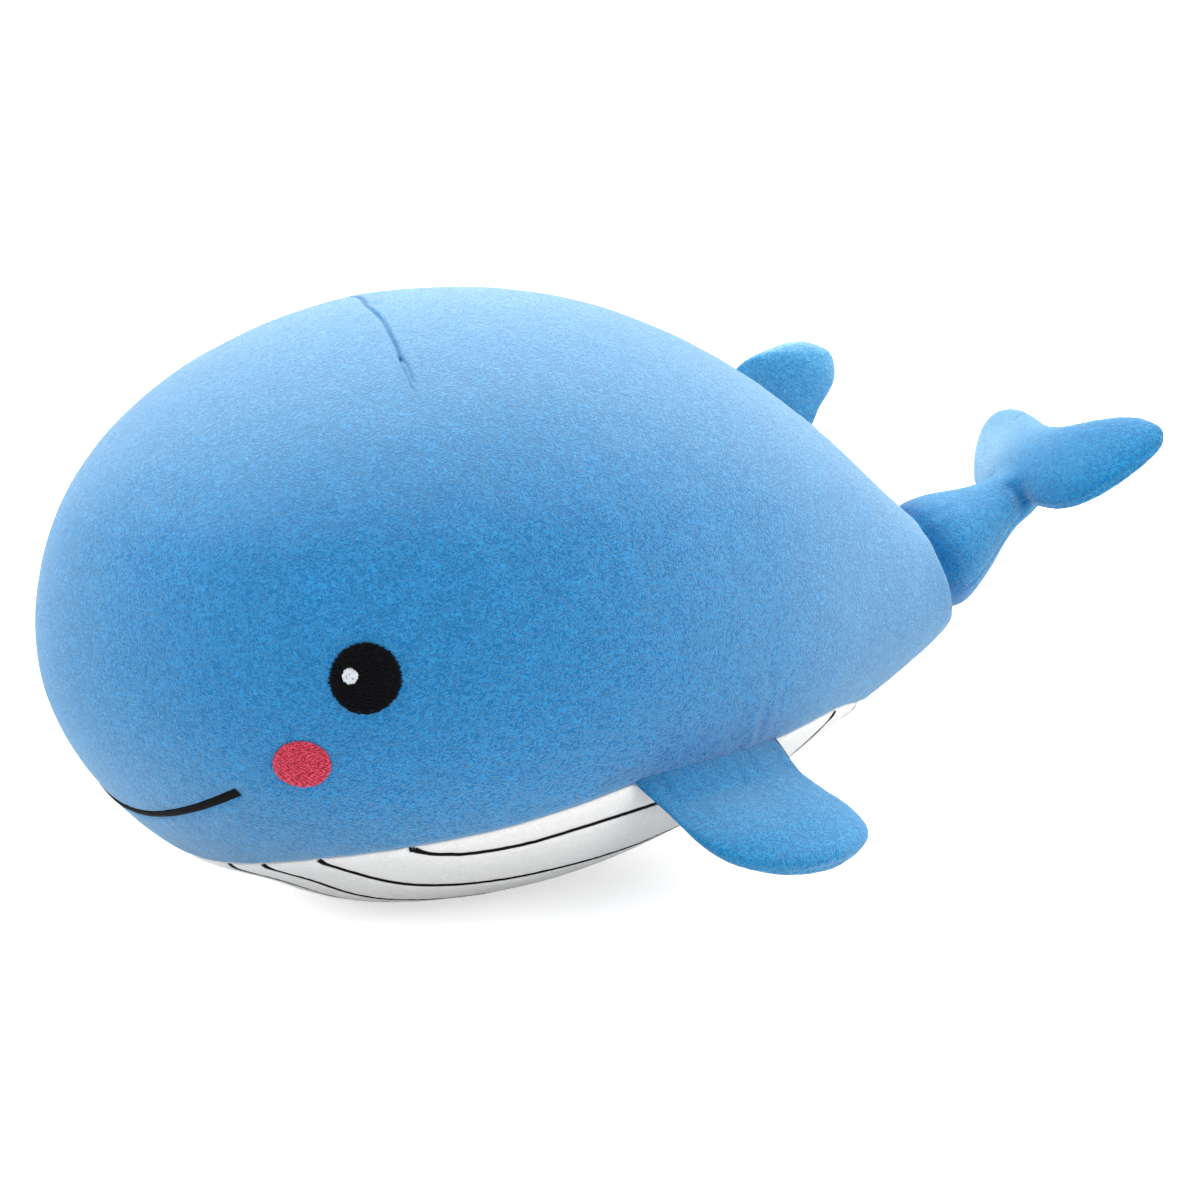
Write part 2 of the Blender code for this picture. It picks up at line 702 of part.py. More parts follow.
def make_tail(hinge, materials):
    flukes = guide(form_mesh("fluke_form", fluke_loops(0.0)), hinge)
    stem_hollow = guide(form_mesh("stem_hollow", stem_loops(SKIN_THICKNESS)), hinge)
    fluke_hollow = guide(form_mesh("fluke_hollow", fluke_loops(SKIN_THICKNESS)), hinge)
    hollowing = [("UNION", flukes), ("DIFFERENCE", stem_hollow), ("DIFFERENCE", fluke_hollow)]
    for name, towards in (("tail_top_skin", -1), ("tail_under_skin", 1)):
        half_cut = guide(tail_half_cutter(f"{name}_cut", towards), hinge)
        stem = form_mesh(name, stem_loops(0.0))
        piece(name, stem, materials["blue"], hinge, *hollowing, ("DIFFERENCE", half_cut))
    inside = SKIN_THICKNESS + GAP
    fluke_filling = guide(form_mesh("fluke_filling", fluke_loops(inside)), hinge)
    filling = form_mesh("tail_filling", stem_loops(inside))
    piece("tail_filling", filling, materials["fibre"], hinge, ("UNION", fluke_filling))


def fluke_tip_x():
    """How far back the flukes reach, in the body's own frame."""
    frame = tail_matrix()
    return max((frame @ point).x for loop in fluke_loops(0.0) for point in loop)


def make_whale():
    clear_scene()
    materials = {
        "blue": make_material("blue_velvet", (0.10, 0.34, 0.71), 0.9),
        "white": make_material("white_velvet", (0.86, 0.86, 0.86), 0.9),
        "fibre": make_material("fibre_filling", (0.93, 0.93, 0.92), 1.0),
        "black": make_material("black_thread", (0.012, 0.012, 0.014), 0.6),
        "glint": make_material("white_thread", (0.88, 0.88, 0.88), 0.6),
        "pink": make_material("pink_thread", (0.77, 0.09, 0.19), 0.6),
    }
    middle_x = (SNOUT_X + fluke_tip_x()) / 2
    origin = empty_at("whale_origin", Matrix.Translation((-middle_x, 0, -REST_HEIGHT)))
    tail_hinge = empty_at("tail_hinge", tail_matrix(), origin)
    socket = guide(form_mesh("tail_socket", socket_loops()), tail_hinge)
    make_body(origin, materials, socket)
    make_face(origin, materials)
    make_belly_lines(origin, materials)
    make_flippers(origin, materials)
    make_back_fin(origin, materials)
    make_tail(tail_hinge, materials)


make_whale()
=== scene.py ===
"""The looks of the stuffed whale: fine velvet skins, stitching and studio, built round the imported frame."""

from math import cos, pi, radians, sin

import bmesh
import bpy
import numpy as np
from mathutils import Matrix, Vector, kdtree, noise


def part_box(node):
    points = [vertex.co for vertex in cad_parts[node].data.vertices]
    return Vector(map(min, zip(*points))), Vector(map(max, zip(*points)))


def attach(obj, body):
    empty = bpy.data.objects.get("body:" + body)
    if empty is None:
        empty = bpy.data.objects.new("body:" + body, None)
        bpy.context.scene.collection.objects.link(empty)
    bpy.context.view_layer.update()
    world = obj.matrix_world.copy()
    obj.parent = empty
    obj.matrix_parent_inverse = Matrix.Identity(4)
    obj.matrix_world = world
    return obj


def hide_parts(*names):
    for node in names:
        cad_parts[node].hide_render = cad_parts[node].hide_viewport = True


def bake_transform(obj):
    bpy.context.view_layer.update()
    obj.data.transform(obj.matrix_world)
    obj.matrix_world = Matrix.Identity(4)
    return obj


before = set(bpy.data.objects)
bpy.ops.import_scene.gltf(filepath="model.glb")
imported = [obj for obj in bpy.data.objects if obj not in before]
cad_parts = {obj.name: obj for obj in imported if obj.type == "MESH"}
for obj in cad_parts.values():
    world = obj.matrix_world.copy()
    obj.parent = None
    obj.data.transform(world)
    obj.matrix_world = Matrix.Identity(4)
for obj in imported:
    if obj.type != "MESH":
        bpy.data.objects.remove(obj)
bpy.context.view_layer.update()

MM = 0.001

# Body: the same driving sizes as the solid model
BODY_LENGTH = 410 * MM
CROWN_HEIGHT = 130 * MM
BELLY_DEPTH = 96 * MM
AXIS_DROP = 18 * MM
PLUMPNESS_SHARE = 1.038
CROWN_SHARES = (1.26, 1.17, 1.09, 1.01, 0.80, 0.50, 0.40)
BELLY_SHARES = (1.28, 1.29, 1.205, 1.00, 0.73, 0.62, 0.66)
REST_FLAT_DEPTH = 0.5 * MM

# Belly panel, as its outline is seen from below
PANEL_FRONT = 50 * MM
PANEL_LENGTH = 300 * MM
PANEL_HALF_WIDTH = 111 * MM
PANEL_SHARES = (1.27, 1.21, 1.06, 0.99, 0.88, 0.84, 0.75)

# Flippers and fin: root, form, and how far the root reaches into the body
FLIPPER_FROM_SNOUT = 185 * MM
FLIPPER_ROOT = 73.5 * MM
FLIPPER_SPAN = 55 * MM
FLIPPER_SWEEP = 17 * MM
FLIPPER_THICKNESS = 17 * MM
FLIPPER_DROOP = radians(35)
FLIPPER_CHORD_SHARES = (1.00, 1.21, 1.61, 1.87)
FLIPPER_SWEEP_SHARES = (0.00, 0.28, 0.84, 1.00)
FIN_FROM_SNOUT = 298 * MM
FIN_ROOT = 45.5 * MM
FIN_ROOT_SLOPE = radians(33)
FIN_SPAN = 28 * MM
FIN_SWEEP = 9 * MM
FIN_THICKNESS = 18 * MM
FIN_CHORD_SHARES = (1.00, 0.90, 0.87, 0.76)
FIN_SWEEP_SHARES = (0.00, 0.43, 0.78, 1.00)
ROOT_THICKNESS = 5 * MM
ROOT_DEPTH = 6 * MM
FLIPPER_DROP, FLIPPER_ROOT_SPREAD = -1.6 * MM, 3 * MM
FULLNESS_SHARES = (0.20, 0.80, 1.15, 1.25)
GAP = 0.3 * MM

# Tail
TAIL_PIVOT_INSET = 13 * MM
TAIL_PIVOT_RISE = 12.2 * MM
TAIL_ROOT_RADIUS = 25 * MM
STEM_TILT = radians(26.5)
STEM_LENGTH = 49.5 * MM
WAIST_HALF_WIDTH = 12.5 * MM
WAIST_HALF_THICKNESS = 11.8 * MM
STEM_TIP_LENGTH = 20 * MM
FLUKE_HALF_SPAN = 58.8 * MM
FLUKE_CENTRE_FROM_WAIST = 18.3 * MM
FLUKE_SWEEP = 28 * MM
FLUKE_SWEEP_TILT = radians(25)
FLUKE_CHORD = 49 * MM
FLUKE_CHORD_TILT = radians(47.5)
FLUKE_THICKNESS = 20 * MM
FLUKE_CHORD_SHARES = (0.77, 1.10, 1.36, 1.34)
FLUKE_SWEEP_SHARES = (0.00, 0.19, 0.64, 1.00)
FLUKE_FULLNESS_SHARES = (0.95, 1.00, 1.05, 1.10)
TAIL_TWIST, TWIST_START, TWIST_LENGTH = radians(-4.5), 15 * MM, 50 * MM
STEM_SEAM_TURN = radians(26)

# The right fluke, as the photo shows it: shorter, blunter, less swept, and turned to the front
RIGHT_SPAN_SHARE, RIGHT_CHORD_SHARE, RIGHT_SWEEP_SHARE = 0.82, 0.78, 0.31
RIGHT_BLUNTNESS, RIGHT_FLUKE_TURN = 0.21, radians(23.6)

# Lines in the cloth, in millimetres: reach; depth and width of the crease; height and reach of the swell
# beside it; height, spacing and reach of its puckers. A height of 0 leaves that part out.
CLOTH_LINES = {
    "seam": (26, 0.9, 2.0, 0, 1, 0.14, 8, 4),
    "tail_rim": (40, 2.2, 3.0, 0.5, 7, 0.25, 13, 6),
    "fin_root": (30, 1.4, 5, 0, 1, 0.3, 9, 8),
    "dart": (25, 1.3, 0.65, 0.22, 5, 0, 1, 1),
    "dart_fold": (6, 0.9, 0.6, 0, 1, 0, 1, 1),
    "pad_rim": (12, 0.45, 2.0, 0, 1, 0.12, 6, 3),
    "mouth": (14, 0.7, 2.4, 0, 1, 0.12, 7, 4),
    "belly_line": (16, 0.8, 2.0, 0.25, 5, 0.08, 6, 3),
    "limb_rim": (15, 0.40, 1.3, 0, 1, 0.07, 5.5, 3),
    "limb_root": (30, 0, 1, 0, 1, 0.20, 12, 8),
    "tail_seam": (14, 0.65, 1.3, 0, 1, 0.08, 7, 3),
    "stem_fold": (12, 2.0, 3.2, 0, 1, 0, 1, 1),
    "notch_fold": (12, 0.6, 1.0, 0, 1, 0, 1, 1),
    "stem_root": (30, 1.2, 4, 0, 1, 0.20, 12, 8),
}
DIMPLE_CREASE, FLUKE_TIP_CREASE = (0.8 * MM, 2.2 * MM), (1.0 * MM, 2.6 * MM)
FLIPPER_DRAW, FLIPPER_DRAW_REACH = 2.4 * MM, 11 * MM
FLIPPER_PUCKERS = (0.38 * MM, 13 * MM, 9 * MM)
CHIN_TUCK, CHIN_TUCK_X, CHIN_TUCK_REACH = 3.2 * MM, -131 * MM, 21 * MM
CHIN_TUCK_TOP, CHIN_TUCK_EASE = 60 * MM, 30 * MM
DART_FRONT, DART_REAR = -94 * MM, -68 * MM
HEM_MARGIN, HEM_DEPTHS = 0.12 * MM, (2.5 * MM, 1.0 * MM)

# Painted shade along the flipper roots, tail rim, stem folds and limb roots, and painted sheen on the right
# fluke: reach and share
FLIPPER_ROOT_SHADE, TAIL_RIM_SHADE, STEM_FOLD_SHADE = (15 * MM, 0.9), (11 * MM, 1.0), (5 * MM, 0.8)
FLIPPER_SHADE, FIN_SHADE, RIGHT_FLUKE_SHEEN = (20 * MM, 0.45), (13 * MM, 0.45), (24 * MM, 0.5)

# How far out from each limb's hinge its end points lie; how far its cloth follows its sewn root; how far its
# stuffing stays inside
FLIPPER_BEND, FIN_BEND = 14 * MM, 10 * MM
FLIPPER_SEWN_REACH, FIN_SEWN_REACH = 13 * MM, 9 * MM
STEM_BEND_START, STEM_BEND = 4 * MM, 24 * MM
LIMB_STUFFING_INSET, TAIL_STUFFING_INSET = 2.6 * MM, 3 * MM

# Face stitching
EYE_FROM_SNOUT, EYE_ABOVE_AXIS = 74.5 * MM, 6 * MM
EYE_RADIUS = 13 * MM
GLINT_RADIUS = 2.8 * MM
GLINT_FORWARD_SHARE = 0.39
GLINT_UP_SHARE = 0.10
CHEEK_FROM_SNOUT, CHEEK_BELOW_AXIS = 55.5 * MM, 26 * MM
CHEEK_HALF_LENGTH, CHEEK_HALF_HEIGHT = 10.6 * MM, 9.4 * MM
MOUTH_HALF_WIDTH = 71.5 * MM
MOUTH_BELOW_AXIS = 59.5 * MM
MOUTH_CORNER_RISE = 20.8 * MM
MOUTH_MIDDLE_THREAD, MOUTH_CORNER_THREAD = 2.5 * MM, 4.3 * MM
BELLY_LINE_SHARES = (0.26, 0.42, 0.62, 0.82)
BELLY_LINE_DIPS = (0.0, 0.0, 13 * MM, 0.0)
BELLY_LINE_BOW = 14.5 * MM
BELLY_LINE_THREAD, BELLY_LINE_END_THREAD = 2.0 * MM, 3.4 * MM
BELLY_LINE_REAR_THREAD, BELLY_LINE_END_LENGTH = 1.3 * MM, 7 * MM
BELLY_LINE_END_MARGIN = 0.6 * MM

SIDES = LEFT, RIGHT = -1, 1
WHALE = "whale_body"


# Smooth curves through shares

def share_at(shares, place):
    orders = np.arange(len(shares))
    table = np.cos(np.outer(orders, orders) * pi / (len(shares) - 1))
    weights = np.linalg.solve(table, shares)
    return np.cos(np.multiply.outer(np.asarray(place, float) * pi, orders)) @ weights


def smooth_step(value):
    value = np.clip(value, 0, 1)
    return value * value * (3 - 2 * value)


def unit(vectors):
    return vectors / np.maximum(np.linalg.norm(vectors, axis=-1, keepdims=True), 1e-12)


def stacked(*parts):
    """Points from their x, y and z, spread to one shape."""
    return np.stack(np.broadcast_arrays(*parts), -1)


# Body form, in the body's own frame and then in the row frame

def body_section(turn):
    turn = np.asarray(turn, float)
    x = -BODY_LENGTH / 2 * np.cos(turn)
    axis = -AXIS_DROP * (x + BODY_LENGTH / 2) / BODY_LENGTH
    above = CROWN_HEIGHT * np.sin(turn) * share_at(CROWN_SHARES, turn / pi)
    below = BELLY_DEPTH * np.sin(turn) * share_at(BELLY_SHARES, turn / pi)
    return x, axis, above, below, PLUMPNESS_SHARE * (above + below) / 2


def lowest_of_body():
    _, axis, _, below, _ = body_section(np.linspace(0, pi, 2001))
    return (axis - below).min()


SNOUT_X = -BODY_LENGTH / 2
PANEL_X, FLIPPER_X, FIN_X = (SNOUT_X + start for start in (PANEL_FRONT, FLIPPER_FROM_SNOUT, FIN_FROM_SNOUT))
FIN_LENGTH = FIN_ROOT * cos(FIN_ROOT_SLOPE)
ORIGIN = np.array([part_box("back_skin")[0].x - SNOUT_X, 0.0, -lowest_of_body() - REST_FLAT_DEPTH])


def body_point(turn, lean):
    """Points of the body's surface in the row frame; lean 0 is the left side, a quarter turn the back."""
    x, axis, above, below, half_width = body_section(turn)
    height = np.where(np.sin(lean) > 0, above, below)
    return stacked(x, -half_width * np.cos(lean), axis + height * np.sin(lean)) + ORIGIN


def body_normal(turn, lean):
    step = 1e-3
    inner = np.clip(turn, step * 2, pi - step * 2)
    along = body_point(inner + step, lean) - body_point(inner - step, lean)
    round_it = body_point(inner, lean + step) - body_point(inner, lean - step)
    return unit(np.cross(along, round_it))


def turn_of(x):
    return np.arccos(np.clip(-2 * np.asarray(x, float) / BODY_LENGTH, -1, 1))


def side_place(x, z, side):
    turn = turn_of(x)
    _, axis, above, below, _ = body_section(turn)
    lean = np.arcsin(np.clip((z - axis) / np.where(z > axis, above, below), -1, 1))
    return turn, lean if side == LEFT else pi - lean


def under_place(x, y):
    turn = turn_of(x)
    half_width = np.maximum(body_section(turn)[4], 1e-9)
    return turn, -np.arccos(np.clip(-np.asarray(y, float) / half_width, -1, 1))


def front_place(y, z):
    low, high = np.zeros_like(y), np.full_like(y, pi / 2)
    for _ in range(40):
        turn = (low + high) / 2
        _, axis, above, below, half_width = body_section(turn)
        height = np.where(z > axis, above, below)
        outside = (y / half_width) ** 2 + ((z - axis) / height) ** 2 > 1
        low, high = np.where(outside, turn, low), np.where(outside, high, turn)
    return turn, np.arctan2((z - axis) / height, -y / half_width)


def outside_body(points):
    """Above zero for points outside the body's plain form."""
    x, y, z = np.moveaxis(points - ORIGIN, -1, 0)
    _, axis, above, below, half_width = body_section(turn_of(x))
    height = np.maximum(np.where(z > axis, above, below), 1e-9)
    return (y / np.maximum(half_width, 1e-9)) ** 2 + ((z - axis) / height) ** 2 - 1


def panel_half_width(x):
    share = (np.asarray(x, float) - SNOUT_X - PANEL_FRONT) / PANEL_LENGTH
    turn = np.arccos(np.clip(1 - 2 * share, -1, 1))
    return PANEL_HALF_WIDTH * np.sin(turn) * share_at(PANEL_SHARES, turn / pi)


def panel_xs(count):
    """From the panel's front to its rear, closer together at both ends."""
    return PANEL_X + PANEL_LENGTH * (1 - np.cos(np.linspace(0, pi, count))) / 2


def seam_point(x, side):
    return body_point(*under_place(x, side * panel_half_width(x)))


def back_point(x):
    return body_point(turn_of(x), pi / 2)


# Fields that push a surface in or out

def around(count):
    return np.linspace(0, 2 * pi, count, endpoint=False)


def travelled(path):
    """How far along the path each of its points lies."""
    return np.concatenate([[0], np.cumsum(np.linalg.norm(np.diff(path, axis=0), axis=1))])


def nearest(points, path, reach):
    """The distance of each point to the path, reach where it is further, and how far along it that is."""
    tree = kdtree.KDTree(len(path))
    for i, spot in enumerate(path):
        tree.insert(spot, i)
    tree.balance()
    travel = travelled(path)
    flat = points.reshape(-1, 3)
    low, high = np.min(path, 0) - reach, np.max(path, 0) + reach
    distance, along = np.full(len(flat), reach), np.zeros(len(flat))
    for i in np.flatnonzero(np.all((flat > low) & (flat < high), axis=1)):
        _, spot, away = tree.find(flat[i])
        if away < reach:
            distance[i], along[i] = away, travel[spot]
    shape = points.shape[:-1]
    return distance.reshape(shape), along.reshape(shape)


def lumps(points, size, seed):
    flat = points.reshape(-1, 3) / size + seed
    return np.array([noise.noise(Vector(p)) for p in flat]).reshape(points.shape[:-1])


def groove(distance, depth, width):
    return -depth * np.exp(-((distance / width) ** 2))


def swell(distance, height, reach):
    """A bulge beside a seam, highest at reach from it."""
    return height * distance / reach * np.exp(1 - distance / reach)


def puckers(distance, along, height, spacing, reach, seed):
    """Small folds that run away from a seam and fade."""
    turns = 2 * pi * along / spacing
    wave = np.cos(turns + 1.5 * np.sin(0.37 * turns + seed)) * (0.6 + 0.4 * np.sin(0.23 * turns + 2 * seed))
    return wave * swell(distance, height, reach)


def line_push(points, path, kind, seed=0.0):
    """What a line of one kind does to the cloth round it."""
    reach, depth, width, height, beside, *folds = np.array(CLOTH_LINES[kind]) * MM
    away, along = nearest(points, path, reach)
    return groove(away, depth, width) + swell(away, height, beside) + puckers(away, along, *folds, seed)


def smooth_path(spots, step=0.4 * MM):
    """A dense curve through the spots."""
    spots = np.array(spots, float)
    found = []
    for u in np.linspace(0, len(spots) - 1, max(8, int(travelled(spots)[-1] / step))):
        i = min(int(u), len(spots) - 2)
        f = u - i
        a, b, c, d = (spots[max(0, min(len(spots) - 1, i + o))] for o in (-1, 0, 1, 2))
        bend = 2 * a - 5 * b + 4 * c - d
        found.append(0.5 * (2 * b + (c - a) * f + bend * f**2 + (3 * b - a - 3 * c + d) * f**3))
    return np.array(found)


def on_body(spots):
    """Spots near the body, in its own frame and in millimetres, brought onto its surface."""
    x, y, z = np.array(spots, float).T * MM
    turn = turn_of(x)
    _, axis, above, below, half_width = body_section(turn)
    lean = np.arctan2((z - axis) / np.where(z > axis, above, below), -y / half_width)
    return body_point(turn, lean)


SEAMS = {side: seam_point(panel_xs(900), side) for side in SIDES}


def belly_line_path(share, dip, side):
    from_middle = share * PANEL_HALF_WIDTH
    xs = PANEL_X + PANEL_LENGTH * np.linspace(0, 1, 4001)
    inside = xs[panel_half_width(xs) > from_middle]
    front, back = inside[0] + BELLY_LINE_END_MARGIN, inside[-1] - BELLY_LINE_END_MARGIN
    along = (1 - np.cos(np.linspace(0, pi, 500))) / 2
    x = front + along * (back - front)
    bow = BELLY_LINE_BOW * share * np.abs(np.sin(pi * along)) ** 1.7 - dip * np.sin(pi * along**3) ** 2
    y = np.minimum(from_middle + bow, panel_half_width(x) - BELLY_LINE_THREAD / 2)
    return under_place(x, side * y)


LINES = {
    (side, number + 1): belly_line_path(share, dip, side)
    for side in SIDES for number, (share, dip) in enumerate(zip(BELLY_LINE_SHARES, BELLY_LINE_DIPS))
}


MOUTH_Y = MOUTH_HALF_WIDTH * np.linspace(-1, 1, 521)
MOUTH_PLACE = front_place(MOUTH_Y, MOUTH_CORNER_RISE * (MOUTH_Y / MOUTH_HALF_WIDTH) ** 2 - MOUTH_BELOW_AXIS)
MOUTH = body_point(*MOUTH_PLACE)
FLIPPER_ROOTS = {side: seam_point(FLIPPER_X + np.linspace(0, FLIPPER_ROOT, 200), side)
                 for side in SIDES}
FIN_BASE = back_point(FIN_X + np.linspace(0, FIN_LENGTH, 120))

# The dart across the crown with its end folds and its dimple: body frame, millimetres
DART_END = (-86.5, -50.3, 110.3)
DART = smooth_path(on_body([
    DART_END, (-85.1, -45.4, 112.9), (-83, -35.8, 117), (-80.5, -25.4, 120.4), (-79.4, -17.9, 122),
    (-78, -7.6, 123.5), (-74.6, 2, 124.3), (-72.2, 11.8, 123.9), (-72.5, 22, 121.8), (-76, 33, 118),
    (-81.5, 43, 113.8), (-86.5, 50.3, 110.3)]))
DART_FOLDS = [smooth_path(on_body([DART_END, *spots])) for spots in (
    [(-87.8, -54.8, 107.7), (-88.8, -60.8, 103.8), (-89.4, -65.6, 100.5)],
    [(-86.1, -54.3, 108.3), (-86.9, -58.8, 105.5), (-87.8, -62.7, 102.9)])]
DIMPLE = on_body([(-74.8, -8.2, 123.9)])[0]


def pad_place(x, z, side, across, up):
    """Places on the body's side round a pad's middle; across and up are measured in the cloth."""
    turn, lean = side_place(x, z, side)
    centre, normal = body_point(turn, lean), body_normal(turn, lean)
    upward = np.array([0, 0, 1]) - normal[2] * normal
    upward /= np.linalg.norm(upward)
    level = np.cross(upward, normal) * side
    spots = centre - ORIGIN + np.multiply.outer(across, level) + np.multiply.outer(up, upward)
    return side_place(spots[..., 0], spots[..., 2], side)


def pad_rim(x, z, half_length, half_height, side):
    angle = np.linspace(0, 2 * pi, 160)
    return body_point(*pad_place(x, z, side, half_length * np.cos(angle), half_height * np.sin(angle)))


EYE_X, CHEEK_X = SNOUT_X + EYE_FROM_SNOUT, SNOUT_X + CHEEK_FROM_SNOUT
PADS = {
    "eye": (EYE_X, EYE_ABOVE_AXIS, EYE_RADIUS, EYE_RADIUS),
    "cheek": (CHEEK_X, -CHEEK_BELOW_AXIS, CHEEK_HALF_LENGTH, CHEEK_HALF_HEIGHT),
}
PAD_RIMS = [pad_rim(*PADS[pad], side) for pad in PADS for side in SIDES]


# Hinges

def hinge_matrix(along, outward, place):
    x_axis = Vector(along).normalized()
    outward = Vector(outward)
    z_axis = (outward - outward.dot(x_axis) * x_axis).normalized()
    y_axis = z_axis.cross(x_axis)
    rotation = Matrix((x_axis, y_axis, z_axis)).transposed()
    return Matrix.Translation(Vector(place)) @ rotation.to_4x4()


def root_hinge(start, end, outward, surface):
    """A hinge beside the straight line from start to end, clear of the surface between them."""
    shares = np.linspace(0, 1, 9)
    spots = surface(start[0] - ORIGIN[0] + shares * (end[0] - start[0]))
    chords = start + shares[:, None] * (end - start)
    bulge = max(0.0, float(((spots - chords) @ outward).max()))
    clear = bulge + ROOT_THICKNESS / 2 + GAP
    return hinge_matrix(end - start, outward, (start + end) / 2 + clear * outward)


def flipper_hinge(side):
    start, end = seam_point(FLIPPER_X, side), seam_point(FLIPPER_X + FLIPPER_ROOT, side)
    along = end - start
    level = unit(np.array([-side * along[1], side * along[0], 0.0]))
    outward = cos(FLIPPER_DROOP) * level - np.array([0, 0, sin(FLIPPER_DROOP)])
    return root_hinge(start, end, outward, lambda x: seam_point(x, side))


def fin_hinge():
    start, end = back_point(FIN_X), back_point(FIN_X + FIN_LENGTH)
    along = end - start
    return root_hinge(start, end, unit(np.array([-along[2], 0, along[0]])), back_point)


def tail_hinge():
    pivot = Vector((BODY_LENGTH / 2 - TAIL_PIVOT_INSET, 0, -AXIS_DROP + TAIL_PIVOT_RISE)) + Vector(ORIGIN)
    outward = Vector((cos(STEM_TILT), 0, sin(STEM_TILT)))
    level = Vector((sin(STEM_TILT), 0, -cos(STEM_TILT)))
    return hinge_matrix(level, outward, pivot)


def placed(points, matrix):
    m = np.array(matrix)
    return points @ m[:3, :3].T + m[:3, 3]


TAIL = tail_hinge()


# The tail's form in its hinge frame

def stem_half_sizes(z, inset=0.0):
    root = TAIL_ROOT_RADIUS - inset
    ease = (1 - np.cos(pi * np.clip(z / STEM_LENGTH, 0, 1))) / 2
    ball = np.sqrt(np.clip(root**2 - np.minimum(z, 0) ** 2, 0, None))
    half_thick = ball + ease * (WAIST_HALF_THICKNESS - inset - root)
    return half_thick, ball + ease * (WAIST_HALF_WIDTH - inset - root)


def stem_ring(z, angle, inset=0.0):
    half_thick, half_width = stem_half_sizes(z, inset)
    return stacked(half_thick * np.cos(angle), half_width * np.sin(angle), z)


def in_tail_frame(length, tilt):
    return np.array([-length * sin(tilt - STEM_TILT), 0, length * cos(tilt - STEM_TILT)])


CHORD_WAY = in_tail_frame(1, FLUKE_CHORD_TILT)
THICK_WAY = in_tail_frame(1, FLUKE_CHORD_TILT + pi / 2)


def fluke_ring(turn, angle, inset=0.0):
    """The flukes' section at turn: minus a quarter turn at the left tip, plus one at the right tip."""
    share = np.abs(turn) * 2 / pi
    middle = np.array([0, 0, STEM_LENGTH]) + in_tail_frame(FLUKE_CENTRE_FROM_WAIST, FLUKE_CHORD_TILT)
    right = smooth_step(turn)
    sweep = FLUKE_SWEEP * share_at(FLUKE_SWEEP_SHARES, share) * (1 - (1 - RIGHT_SWEEP_SHARE) * right)
    half_chord = (FLUKE_CHORD / 2 - inset) * np.cos(turn) * share_at(FLUKE_CHORD_SHARES, share)
    half_thick = (FLUKE_THICKNESS / 2 - inset) * np.cos(turn) * share_at(FLUKE_FULLNESS_SHARES, share)
    aside = (FLUKE_HALF_SPAN - inset) * np.sin(turn) * np.where(turn > 0, RIGHT_SPAN_SHARE, 1.0)
    half_chord *= 1 - (1 - RIGHT_CHORD_SHARE) * right
    half_chord *= np.cos(turn) ** np.where(turn > 0, -RIGHT_BLUNTNESS, 0.0)
    ahead, across = np.cos(RIGHT_FLUKE_TURN * right), np.sin(RIGHT_FLUKE_TURN * right)
    chord_way = np.multiply.outer(ahead, CHORD_WAY) + np.multiply.outer(across, THICK_WAY)
    thick_way = np.multiply.outer(ahead, THICK_WAY) - np.multiply.outer(across, CHORD_WAY)
    return (middle + np.multiply.outer(sweep, in_tail_frame(1, FLUKE_SWEEP_TILT))
            + np.multiply.outer(aside, [0, 1, 0])
            + (half_chord * np.cos(angle))[..., None] * chord_way
            + (half_thick * np.sin(angle))[..., None] * thick_way)


def twisted(points):
    """The flukes stand slightly turned about the stem."""
    angle = TAIL_TWIST * smooth_step((points[..., 2] - TWIST_START) / TWIST_LENGTH)
    x, y, z = np.moveaxis(points, -1, 0)
    return stacked(x * np.cos(angle) - y * np.sin(angle), x * np.sin(angle) + y * np.cos(angle), z)


def in_tail(points):
    return placed(twisted(np.asarray(points)), TAIL)


def tail_rim():
    """Where the stem comes out of the body: a closed line."""
    angle = np.linspace(0, 2 * pi, 241)
    z = np.linspace(-12 * MM, STEM_LENGTH * 0.8, 400)
    first = np.argmax(outside_body(in_tail(stem_ring(z[:, None], angle[None, :]))) > 0, axis=0)
    return in_tail(stem_ring(z[first], angle))


TAIL_RIM = tail_rim()


def tail_seams():
    """The seam along both sides of the stem and round each fluke."""
    paths = []
    for side in SIDES:
        z = np.linspace(2 * MM, STEM_LENGTH * 0.92, 90)
        paths.append(in_tail(stem_ring(z, np.full_like(z, side * (pi / 2 - STEM_SEAM_TURN)))))
        out = side * np.linspace(0.18, pi / 2, 160)
        front = fluke_ring(out, np.full_like(out, pi))
        rear = fluke_ring(side * np.linspace(pi / 2, 0, 160), np.zeros(160))
        paths.append(in_tail(np.concatenate([front, rear])))
    return paths


def tail_folds():
    """Short folds: in both armpits between stem and fluke, and near the notch on the right fluke."""
    folds = []
    for side in SIDES:
        angle = side * np.linspace(pi * 0.50, pi * 0.72, 40)
        folds.append(in_tail(stem_ring(np.full_like(angle, STEM_LENGTH - 1.5 * MM), angle)))
    angle = np.linspace(0.05 * pi, 0.25 * pi, 40)
    folds.append(in_tail(fluke_ring(np.full_like(angle, 0.42), angle)))
    return folds


# Meshes

def linked(name, data):
    obj = bpy.data.objects.new(name, data)
    bpy.context.scene.collection.objects.link(obj)
    return obj


def new_object(name, mesh, material):
    mesh.shade_smooth()
    mesh.materials.clear()
    mesh.materials.append(material)
    return linked(name, mesh)


def reworked(mesh, change):
    """The mesh after a change made in bmesh."""
    work = bmesh.new()
    work.from_mesh(mesh)
    change(work)
    work.to_mesh(mesh)
    work.free()
    return mesh


